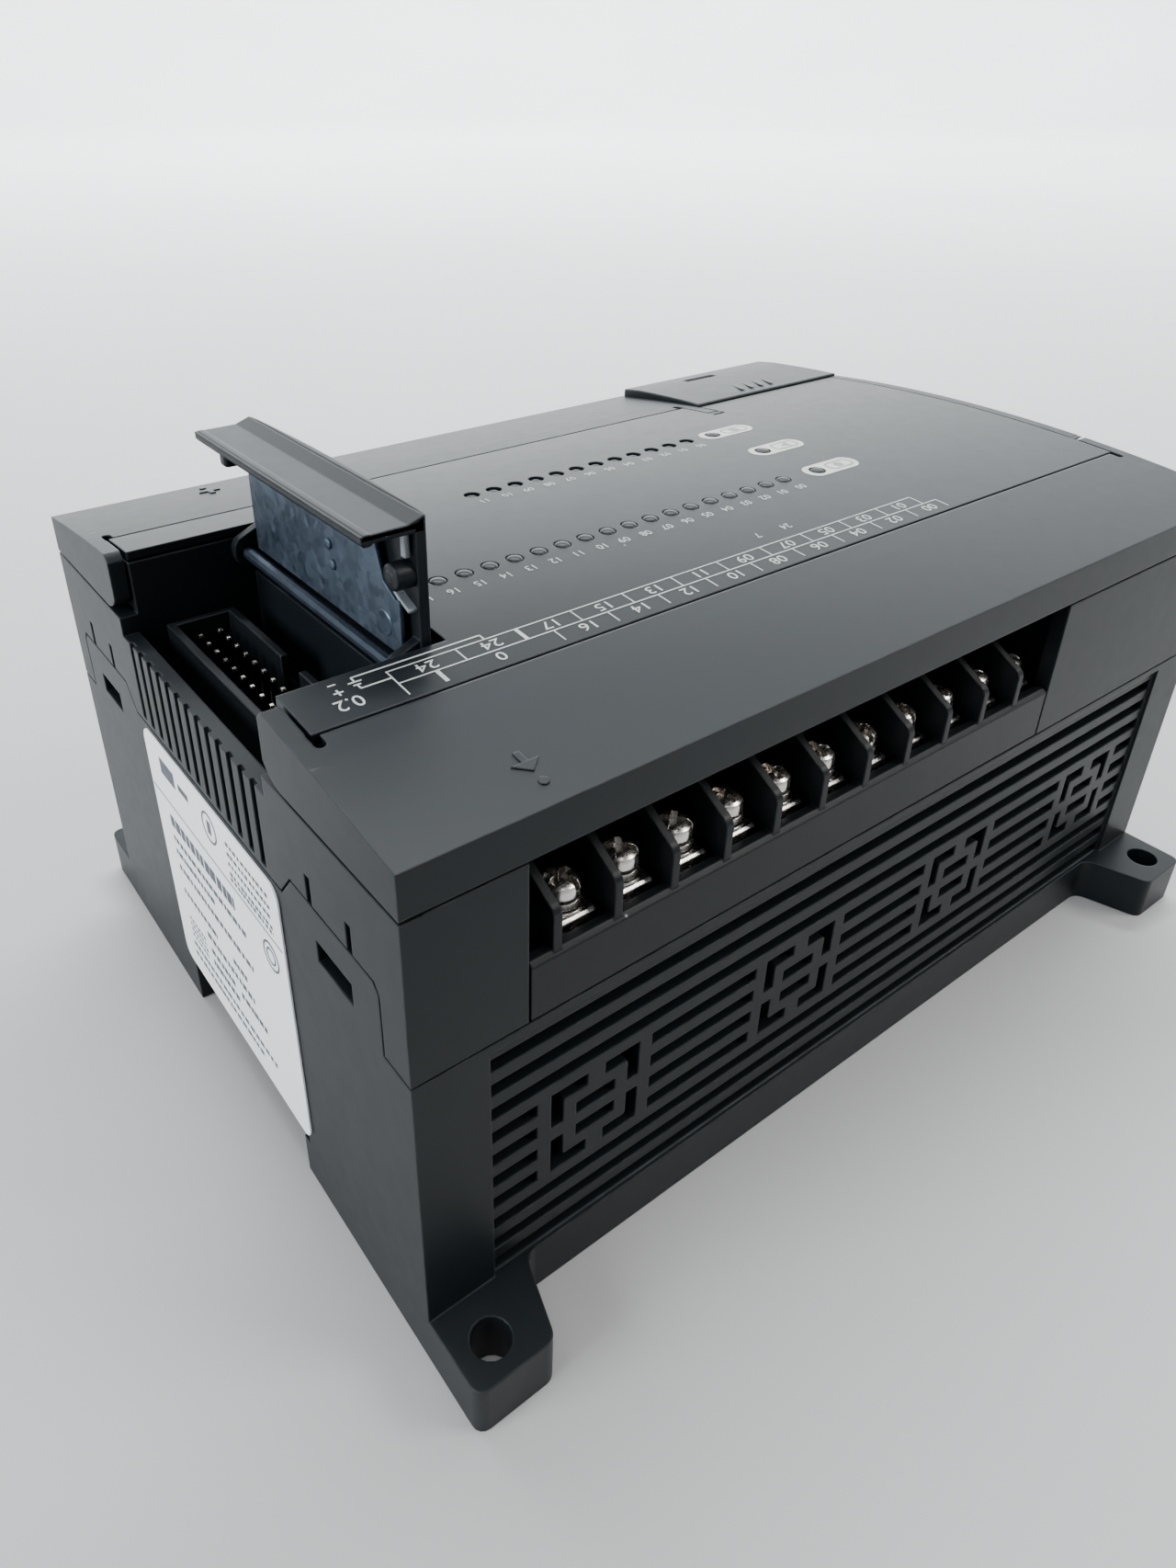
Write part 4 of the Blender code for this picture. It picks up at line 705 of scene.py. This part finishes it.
def status_pills():
    """Three light pills, each with an open ring round its lamp and a plain sign in a thin frame."""
    shape = bmesh.new()
    signs = bmesh.new()
    for index, (x, y) in enumerate(STATUS_LAMPS):
        outline = rounded_rectangle(x - 2.2, x + 7.8, y - 1.85, y + 1.85, 1.8, 8)
        ring_band(shape, outline, disc(x, y, LAMP_RADIUS + 0.15, 28))
        frame_line(signs, rounded_rectangle(x + 2.1, x + 7.0, y - 1.2, y + 1.2, 1.1, 6),
                   rounded_rectangle(x + 2.4, x + 6.7, y - 0.9, y + 0.9, 0.8, 6))
        sign = (disc(x + 4.4, y, 0.75, 16), [(x + 5.4, y - 0.8), (x + 5.4, y + 0.8), (x + 3.8, y)],
                rounded_rectangle(x + 3.7, x + 5.3, y - 0.7, y + 0.7, 0.15, 2))[index]
        slab(signs, sign, -PRINT_HALF, PRINT_HALF)
    laid_piece("status_pills", shape, PILL_INK, 0.01)
    laid_piece("status_signs", signs, SIGN_INK, 0.03)


def frame_line(shape, outer, inner):
    """Thin printed line between two outlines with the same number of points."""
    for index in range(len(outer)):
        following = (index + 1) % len(outer)
        corners = [outer[index], outer[following], inner[following], inner[index]]
        slab(shape, corners, -PRINT_HALF, PRINT_HALF)


def ring_band(shape, outline, hole):
    """Solid band between an outline and a hole, built as a filled curve."""
    curve = bpy.data.curves.new("band", "CURVE")
    curve.dimensions = "2D"
    curve.fill_mode = "BOTH"
    curve.extrude = PRINT_HALF * MM
    for points in (outline, hole):
        spline = curve.splines.new("POLY")
        spline.points.add(len(points) - 1)
        for target, (u, v) in zip(spline.points, points):
            place = at(u, v, 0)
            target.co = (place.x, place.y, 0.0, 1.0)
        spline.use_cyclic_u = True
    mesh = mesh_of_curve(curve)
    shape.from_mesh(mesh)
    bpy.data.meshes.remove(mesh)


def label_piece():
    """Rating label with greeked lines of print, a rule, rings and a code block, and no wording."""
    low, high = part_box("rating_label")
    shape = bmesh.new()
    y_low = (low.y - CASE_LOW.y) / MM
    y_high = (high.y - CASE_LOW.y) / MM
    outline = rounded_rectangle(y_low, y_high, low.z / MM, high.z / MM, 2.0, 6)
    slab(shape, outline, -0.30, -0.02, "X")
    make_piece("printed_label", shape, LABEL, "housing", ["rating_label"], bevel=0.06)
    ink = bmesh.new()
    dice = Random(11)

    def bar(left, right, bottom, top):
        quad_box(ink, (LABEL_INK_OUT, left, bottom), (LABEL_INK_IN, right, top))

    def line(start, end, height, tall, step):
        """Dashes that stand for a line of print, from the reader's left to right."""
        y = start
        while y > end:
            width = dice.uniform(*step)
            bar(max(y - width, end), y, height - tall / 2, height + tall / 2)
            y -= width + dice.uniform(0.25, 0.5)

    bar(y_low + 0.4, y_high - 0.4, 37.45, 37.6)
    line(58.8, 39.0, 34.4, 1.7, (0.9, 1.6))
    words = (0.5, 1.3)
    for start, end, height, tall in ((59.0, 36.5, 31.5, 0.75), (59.0, 46.5, 29.3, 0.75), (59.0, 36.0, 26.7, 0.75),
                                     (59.0, 48.0, 22.7, 0.75), (43.0, 39.0, 22.7, 0.75), (52.0, 37.5, 20.3, 0.8)):
        line(start, end, height, tall, words)
    for height in (18.0, 17.0, 16.0, 15.0):
        line(59.0, 53.4, height, 0.4, (0.3, 0.7))
    for start, end, height, tall in ((51.5, 44.0, 17.8, 0.8), (42.0, 34.6, 17.8, 0.8), (51.5, 43.0, 15.8, 0.8),
                                     (59.2, 33.0, 13.4, 0.6), (59.2, 37.0, 11.6, 0.6)):
        line(start, end, height, tall, words)
    for height in (43.6, 42.2, 40.8, 39.4, 38.6):
        line(38.5, 27.5, height, 0.45, (0.35, 0.8))
    for radius, thick in ((2.0, 0.28), (1.15, 0.25)):
        ring(ink, 29.2, 34.2, radius, thick)
    ring(ink, 43.4, 42.6, 2.1, 0.28)
    bar(42.9, 43.9, 41.7, 43.5)
    bar(54.2, 58.8, 41.6, 43.9)
    bar(49.8, 52.9, 42.3, 43.2)
    make_piece("label_print", ink, LABEL_INK, "housing", smooth=False)


def ring(shape, y, z, radius, thick, sides=28):
    """Flat printed ring on the left end."""
    for step in range(sides):
        first = 2 * pi * step / sides
        second = 2 * pi * (step + 1) / sides
        corners = []
        for angle, reach in ((first, radius), (second, radius), (second, radius - thick), (first, radius - thick)):
            corners.append((y + reach * cos(angle), z + reach * sin(angle)))
        slab(shape, corners, LABEL_INK_OUT, LABEL_INK_IN, "X")


# ------------------------ covers

def stadium_cut(shape, x, y_low, y_high, width=1.15):
    """Cutter for a narrow slot with round ends beside a cover's arm."""
    slab(shape, rounded_rectangle(x - width / 2, x + width / 2, y_low, y_high, width / 2 - 0.01, 6), 64.5, 70)


def arrow_mark(shape, x, y, towards, root=-0.3, rise=0.16):
    """Plain raised arrow and dot that show where to lift a cover."""
    tail = y - towards * 1.4
    slab(shape, [(x - 1.5, y), (x + 1.5, y), (x, y + towards * 1.3)], root, rise)
    quad_box(shape, (x - 0.35, min(y, tail), root), (x + 0.35, max(y, tail), rise))
    slab(shape, disc(x, y + towards * 2.7, 0.5, 16), root, rise)


def terminal_cover(node, name, right, side, mark_x):
    """Cover over a row of terminals. Side 0 is the input side, side 1 the output side."""
    piece = copy_of(node, name)
    cuts = bmesh.new()
    span = (DEPTH - COVER_SLOT_FAR, DEPTH - COVER_SLOT_NEAR) if side else (COVER_SLOT_NEAR, COVER_SLOT_FAR)
    for x in (COVER_ARM + 0.5, right - COVER_ARM - 0.5):
        stadium_cut(cuts, x, *span)
    carve(piece, cuts)
    body = "output_cover" if side else "input_cover"
    finish_piece(piece, CASE, body, [node], bevel=0.25)
    mark = bmesh.new()
    arrow_mark(mark, mark_x, DEPTH - COVER_MARK if side else COVER_MARK, 1 if side else -1)
    flat = laid_piece(name + "_mark", mark, CASE, 0.0, body)


def edge_fillers():
    """Corners above two cover arms' sweep, so the crown's edge has no open notch there."""
    outline = [(COVER_WALL + 0.1, crown(COVER_WALL) - 0.02), (COVER_WALL + 0.1, 66.9)]
    for degrees in range(36, 49, 4):
        angle = radians(degrees)
        outline.append((COVER_HINGE_Y + COVER_SWEEP * cos(angle), COVER_HINGE_Z + COVER_SWEEP * sin(angle)))
    outline.append((23.7, crown(23.7) - 0.02))
    shape = bmesh.new()
    slab(shape, outline, LENGTH - COVER_ARM - GAP, LENGTH - 0.05, "X")
    far = [(DEPTH - y, z) for y, z in outline]
    slab(shape, far, OUTPUT_COVER_END - COVER_ARM - 0.25, OUTPUT_COVER_END + 0.25, "X")
    make_piece("edge_filler", shape, CASE, "housing", bevel=0.05)


def corner_cover():
    """Cover over the communication socket, with four moulded ribs to lift it by."""
    piece = copy_of("comm_port_cover", "corner_cover")
    finish_piece(piece, CASE, "comm_cover", ["comm_port_cover"], bevel=0.3)
    ribs = bmesh.new()
    for index in range(4):
        x = 113.0 + 2.4 * index
        strip(ribs, x, 73.2, x + 1.9, 77.4, 0.8, 3)
    for vertex in ribs.verts:
        vertex.co.z += 0.55 * MM
    flat = laid_piece("corner_cover_ribs", ribs, CASE, 0.12, "comm_cover")


# ------------------------ expansion port

def door_shell():
    """The door's moulding, the smooth skin over its flange and the stop under it."""
    door = copy_of("expansion_door", "port_door_shell")
    finish_piece(door, CASE, "port_door", ["expansion_door"], bevel=0.28, segments=3)
    low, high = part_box("expansion_door")
    free = (low.x - CASE_LOW.x) / MM
    top = high.z / MM
    near = (low.y - CASE_LOW.y) / MM
    far = (high.y - CASE_LOW.y) / MM
    skin = bmesh.new()
    slab(skin, [(free + 0.35, top - 0.62), (free + 0.95, top - 0.62), (free + 1.15, top - 0.68),
                (free + 5.0, top - 0.66), (free + 6.8, top - 0.02), (free + 6.8, top - 1.7),
                (free + 1.4, top - 1.6), (free + 1.0, top - 1.85), (free + 0.35, top - 1.85),
                (free, top - 1.45), (free, top - 0.95)], near, far, "Y")
    flange = make_piece("flange_skin", skin, CASE, "port_door", bevel=0.12, segments=3)
    flange.data.set_sharp_from_angle(angle=FLANGE_SHARP_ANGLE)
    nub = bmesh.new()
    quad_box(nub, (free + 2.1, far - 2.7, top - 4.9), (free + 4.3, far - 0.9, top - 1.5))
    make_piece("door_stop", nub, CASE, "port_door", bevel=0.5, segments=3)


def door_plate():
    """The sheet-steel shield with its pressed dimples, and the bent lips along its notch, in a paler copy of the
    zinc as a painted highlight.
    """
    shield = copy_of("door_shield", "door_shield_plate")
    finish_piece(shield, ZINC, "port_door", ["door_shield"], bevel=0.10)
    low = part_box("door_shield")[0]
    face = (low.x - CASE_LOW.x) / MM
    near = (low.y - CASE_LOW.y) / MM
    bottom = low.z / MM
    pressed = bmesh.new()
    dish(pressed, face, near + 3.2, bottom + 2.6, 1.6, (0.10, -0.10, -0.07, -0.06))
    dish(pressed, face, near + 6.2, bottom + 12.0, 1.2, (0.10, -0.12, -0.08, -0.06))
    for y, z in ((near + 13.8, bottom + 5.2), (near + 14.4, bottom + 7.4)):
        dish(pressed, face, y, z, 0.7, (0.10, -0.24, -0.33, -0.36))
    make_piece("shield_pressings", pressed, ZINC, "port_door", bevel=0.05)
    lips = bmesh.new()
    slab(lips, [(near - 1.4, bottom + 5.7), (near + 0.6, bottom + 6.5), (near + 2.9, bottom + 7.9),
                (near + 3.0, bottom + 7.5), (near + 0.7, bottom + 6.1), (near - 1.4, bottom + 5.3)],
         face + 0.2, face + 1.4, "X")
    slab(lips, [(near - 1.0, bottom + 10.9), (near - 0.1, bottom + 10.9), (near - 0.1, bottom + 13.6),
                (near - 1.0, bottom + 13.6)], face + 0.4, face + 1.0, "X")
    # Painted highlight: the lips take a paler copy of the zinc.
    make_piece("shield_lips", lips, LIP_ZINC_HIGHLIGHT, "port_door", bevel=0.1)


def door_button():
    """Round catch at the door's near end, turned about an axis that points to the left end."""
    low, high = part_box("door_clip")
    middle = (low + high) / 2 + Vector((0, -0.7, -1.6)) * MM
    reach = (high.x - low.x) / MM
    button = bmesh.new()
    for radius, shift in ((1.45, 0.0), (0.75, -0.12)):
        profile = [(0.0, reach - shift), (radius * 0.7, reach - shift), (radius * 0.93, reach - 0.12 - shift),
                   (radius, reach - 0.4), (radius, 0.0), (0.0, 0.0)]
        lathe(button, profile, ORIGIN, 32)
    for vertex in button.verts:
        vertex.co = Vector((high.x + 0.7 * MM - vertex.co.z, middle.y - vertex.co.x, middle.z + vertex.co.y))
    make_piece("door_clip_button", button, CASE, "port_door", ["door_clip"], bevel=0.05)


def dish(shape, face, y, z, radius, levels, steps=24):
    """Round pressed dimple standing slightly off a plate that faces the left end."""
    rings = []
    for reach, out in zip((radius, radius * 0.82, radius * 0.5, 0.0), levels):
        if reach == 0:
            rings.append([shape.verts.new(at(face + out, y, z))])
            continue
        rings.append([shape.verts.new(at(face + out, y + reach * cos(2 * pi * step / steps),
                                         z + reach * sin(2 * pi * step / steps))) for step in range(steps)])
    base = [shape.verts.new(vertex.co + Vector((0.12 * MM, 0, 0))) for vertex in rings[0]]
    shape.faces.new(base)
    for step in range(steps):
        following = (step + 1) % steps
        shape.faces.new((base[step], base[following], rings[0][following], rings[0][step]))
        for outer, inner in zip(rings, rings[1:]):
            if len(inner) == 1:
                shape.faces.new((outer[step], outer[following], inner[0]))
            else:
                shape.faces.new((outer[step], outer[following], inner[following], inner[step]))


def header_pieces():
    """Pin header in the port: its shroud, and two rows of pins that each stand on one bar."""
    shroud = copy_of("expansion_header", "header_shroud")
    finish_piece(shroud, BLOCK, "housing", ["expansion_header"], bevel=0.15)
    for node in ("header_pins_left", "header_pins_right"):
        low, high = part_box(node)
        x = ((low.x + high.x) / 2 - CASE_LOW.x) / MM
        foot = low.z / MM
        first = (low.y - CASE_LOW.y) / MM + PIN_HALF
        pitch = ((high.y - low.y) / MM - 2 * PIN_HALF) / (ROW_PINS - 1)
        shape = bmesh.new()
        quad_box(shape, (x - 0.3, first - 0.3, foot), (x + 0.3, first + (ROW_PINS - 1) * pitch + 0.3, foot + 1.5))
        for index in range(ROW_PINS):
            pin(shape, x, first + index * pitch, foot + 1.2, high.z / MM)
        make_piece(node.replace("header_", "contact_"), shape, GOLD, "housing", [node], bevel=0.04)


def pin(shape, x, y, bottom, top):
    """Square contact pin with a blunt pyramid at its tip."""
    rings = []
    for half, z in ((PIN_HALF, bottom), (PIN_HALF, top - 0.3), (PIN_HALF - 0.1, top)):
        rings.append([shape.verts.new(at(x + u * half, y + v * half, z))
                      for u, v in ((-1, -1), (1, -1), (1, 1), (-1, 1))])
    shape.faces.new(rings[0])
    shape.faces.new(rings[-1])
    for lower, upper in zip(rings, rings[1:]):
        for step in range(4):
            following = (step + 1) % 4
            shape.faces.new((lower[step], lower[following], upper[following], upper[step]))


# ------------------------ terminals

def screw_mesh():
    """Pan head with a crossed recess, its split washer and its flat washer, the seat at height zero."""
    shape = bmesh.new()
    lathe(shape, [(0.0, 5.80), (0.9, 5.76), (1.5, 5.60), (1.85, 5.32), (2.0, 4.95), (2.0, 4.15),
                  (1.9, 4.02), (1.15, 4.02), (1.15, 0.9), (0.0, 0.9)], ORIGIN, 32)
    bmesh.ops.recalc_face_normals(shape, faces=shape.faces)
    holder = bpy.data.objects.new("head", mesh_of(shape, "head"))
    link(holder)
    cuts = bmesh.new()
    for half_u, half_v in ((2.6, 0.36), (0.36, 1.5)):
        made = bmesh.ops.create_cube(cuts, size=1.0)["verts"]
        bmesh.ops.scale(cuts, vec=Vector((2 * half_u, 2 * half_v, 2.4)) * MM, verts=made)
        bmesh.ops.translate(cuts, vec=Vector((0, 0, 5.9)) * MM, verts=made)
    carve(holder, cuts)
    shape = bmesh.new()
    shape.from_mesh(holder.data)
    bpy.data.objects.remove(holder, do_unlink=True)
    spring_washer(shape)
    lathe(shape, [(1.2, 2.82), (2.25, 2.82), (2.36, 2.68), (2.3, 2.42), (1.2, 2.42), (1.2, 2.82)], ORIGIN, 32)
    bmesh.ops.recalc_face_normals(shape, faces=shape.faces)
    return mesh_of(shape, "terminal_screw")


def spring_washer(shape, inner=1.2, outer=2.1, low=2.9, thick=0.75, rise=0.3, steps=36):
    """Split ring with a rectangular section."""
    sections = []
    for step in range(steps + 1):
        angle = radians(8 + 344 * step / steps)
        lift = low + rise * step / steps
        section = []
        for radius, height in ((inner, lift), (outer, lift), (outer, lift + thick), (inner, lift + thick)):
            section.append(shape.verts.new(Vector((radius * cos(angle), radius * sin(angle), height)) * MM))
        sections.append(section)
    shape.faces.new(sections[0])
    shape.faces.new(sections[-1])
    for first, second in zip(sections, sections[1:]):
        for corner in range(4):
            following = (corner + 1) % 4
            shape.faces.new((first[corner], first[following], second[following], second[corner]))


def terminal_screws():
    """A screw in each cell of both tiers, turned at random. The lower tier's stand for CAD screws."""
    dice = Random(5)
    model = screw_mesh()
    for side, prefix in enumerate(("input", "output")):
        for index in range(TERMINALS):
            x = FIRST_DIVIDER + (index + 0.5) * TERMINAL_PITCH
            for tier, row, seat in TIERS:
                name = "%s_%s_screw_%02d" % (prefix, tier, index + 1)
                piece = bpy.data.objects.new(name, model.copy())
                piece.data.transform(Matrix.Rotation(dice.uniform(0, pi), 4, "Z"))
                y = row if side == 0 else DEPTH - row
                piece.location = at(x, y, seat)
                nodes = ["%s_screw_%02d" % (prefix, index + 1)] if tier == "lower" else []
                finish_piece(piece, NICKEL, "housing", nodes, bevel=0.06, segments=1)


def contact_strips():
    """In each cell a plated contact plate, and over it the square clamp plate with its turned-up lip."""
    for side, prefix in enumerate(("input", "output")):
        for tier, row, seat in TIERS:
            shape = bmesh.new()
            for index in range(TERMINALS):
                x = FIRST_DIVIDER + (index + 0.5) * TERMINAL_PITCH
                near = row - 2.4
                far = row + 2.4
                contact = [(near - 0.1, seat + 0.05), (near - 0.1, seat + 0.5), (near + 0.1, seat + 0.7),
                           (far, seat + 0.7), (far, seat + 0.05)]
                clamp = [(near + 0.1, seat + 1.0), (near - 0.1, seat + 1.2), (near - 0.1, seat + 2.05),
                         (near + 0.2, seat + 2.35), (far - 0.3, seat + 2.35), (far, seat + 2.1), (far, seat + 1.2),
                         (far - 0.2, seat + 1.0)]
                for outline, half in ((contact, 2.5), (clamp, 2.4)):
                    if side:
                        outline = [(DEPTH - y, z) for y, z in outline]
                    slab(shape, outline, x - half, x + half, "X")
            make_piece("%s_%s_contacts" % (prefix, tier), shape, NICKEL, "housing", bevel=0.08)


def terminal_blocks():
    """The two barrier strips, in their CAD shapes with softened edges."""
    for prefix in ("input", "output"):
        piece = copy_of(prefix + "_terminal_block", prefix + "_barrier_strip")
        finish_piece(piece, BLOCK, "housing", [prefix + "_terminal_block"], bevel=0.2)


# ------------------------ inner parts keep their CAD shapes

def paint_inner_parts():
    """Give the parts that keep their CAD shapes their materials."""
    core = varnished("laminated_core", (0.10, 0.10, 0.11), 0.45, 0.6)
    sleeve = varnished("capacitor_sleeve", (0.02, 0.03, 0.07), 0.35, 0.0, 0.1)
    ceramic = varnished("fuse_ceramic", (0.70, 0.69, 0.65), 0.35)
    alloy = varnished("extruded_alloy", (0.58, 0.59, 0.61), 0.35, 1.0)
    relay = varnished("relay_case", (0.02, 0.07, 0.24), 0.3)
    chip = varnished("chip_resin", (0.02, 0.02, 0.022), 0.5)
    finishes = {
        "main_board": BOARD, "power_board": BOARD, "transformer": core, "reservoir_capacitor": sleeve,
        "mains_fuse": ceramic, "heat_sink": alloy, "processor": chip, "backup_battery": NICKEL,
        "rail_latch": CASE, "door_hinge_rod": ROD_STEEL, "comm_socket_shell": NICKEL,
        "comm_socket_insert": BLOCK, "mode_switch_body": BLOCK, "mode_switch_lever": LEVER,
        "output_relay_1": relay, "output_relay_2": relay, "output_relay_3": relay, "output_relay_4": relay,
    }
    for node, material in finishes.items():
        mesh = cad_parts[node].data
        mesh.materials.clear()
        mesh.materials.append(material)


# ------------------------ stage, lights and camera

def stage():
    """Plain pale floor, round, sweeping up all round into a backdrop far from the object."""
    profile = [(reach, 0.0) for reach in (0.25, 0.6, 1.2, 1.8, FLOOR_FLAT)]
    for step in range(1, FLOOR_STEPS + 1):
        angle = radians(FLOOR_RISE * step / FLOOR_STEPS)
        profile.append((FLOOR_FLAT + FLOOR_CURVE * sin(angle), FLOOR_CURVE * (1 - cos(angle))))
    profile.append(FLOOR_RIM)
    shape = bmesh.new()
    middle = shape.verts.new((0, 0, FLOOR_LEVEL))
    rings = []
    for reach, height in profile:
        ring_verts = []
        for turn in range(FLOOR_SIDES):
            angle = 2 * pi * turn / FLOOR_SIDES
            ring_verts.append(shape.verts.new((reach * cos(angle), reach * sin(angle), height + FLOOR_LEVEL)))
        rings.append(ring_verts)
    for turn in range(FLOOR_SIDES):
        following = (turn + 1) % FLOOR_SIDES
        shape.faces.new((middle, rings[0][turn], rings[0][following]))
        for inner, outer in zip(rings, rings[1:]):
            shape.faces.new((inner[turn], outer[turn], outer[following], inner[following]))
    bmesh.ops.recalc_face_normals(shape, faces=shape.faces)
    mesh = mesh_of(shape, "floor")
    for face in mesh.polygons:
        face.use_smooth = True
    floor = bpy.data.objects.new("floor", mesh)
    mesh.materials.append(pale_floor("floor_paint"))
    link(floor)


def softbox(name, place, aim, size, power, colour):
    """Soft rectangular light at a place, in metres, pointed at another."""
    light = bpy.data.lights.new(name, "AREA")
    light.shape = "RECTANGLE"
    light.size, light.size_y = size
    light.energy = power
    light.color = colour
    lamp = bpy.data.objects.new(name, light)
    lamp.location = place
    lamp.rotation_euler = (Vector(aim) - Vector(place)).to_track_quat("-Z", "Y").to_euler()
    link(lamp)


def studio():
    """Pale surroundings and four softboxes: above, left, front right and a large one far behind."""
    world = bpy.data.worlds.new("studio")
    world.use_nodes = True
    background = world.node_tree.nodes["Background"]
    background.inputs["Color"].default_value = (0.90, 0.95, 1.0, 1.0)
    background.inputs["Strength"].default_value = 0.36
    bpy.context.scene.world = world
    softbox("top_softbox", (-0.2, -0.1, 1.9), (0, 0.1, 0), (1.3, 1.3), 20, (1.0, 0.99, 0.98))
    softbox("left_softbox", (-1.7, 0.15, 0.8), (0, 0, 0.03), (0.9, 0.9), 42, (0.92, 0.96, 1.0))
    softbox("front_softbox", (0.95, -0.85, 1.15), (0, 0, 0.03), (0.6, 0.6), 16, (1.0, 0.97, 0.93))
    softbox("backdrop_softbox", (0.7, 0.95, 2.3), (2.2, 3.0, 0.6), (2.6, 1.2), 900, (0.94, 0.975, 1.0))


def camera():
    """Camera near the left end of the input side, looking down along the case."""
    data = bpy.data.cameras.new("camera")
    data.sensor_fit = "AUTO"
    data.sensor_width = CAMERA_SENSOR
    data.lens = CAMERA_LENS
    data.shift_x, data.shift_y = CAMERA_SHIFT
    data.clip_start = 0.005
    data.clip_end = 30.0
    holder = bpy.data.objects.new("camera", data)
    holder.location = at(*CAMERA_PLACE)
    holder.rotation_euler = (at(*CAMERA_AIM) - holder.location).to_track_quat("-Z", "Y").to_euler()
    link(holder)
    bpy.context.scene.camera = holder


def build():
    case_halves()
    panel_piece()
    lamp_lenses()
    face_legend()
    status_pills()
    label_piece()
    terminal_cover("input_terminal_cover", "input_cover_shell", LENGTH, 0, 16.0)
    terminal_cover("output_terminal_cover", "output_cover_shell", OUTPUT_COVER_END, 1, 20.0)
    edge_fillers()
    corner_cover()
    door_shell()
    door_plate()
    door_button()
    header_pieces()
    terminal_blocks()
    contact_strips()
    terminal_screws()
    paint_inner_parts()
    stage()
    studio()
    camera()


build()
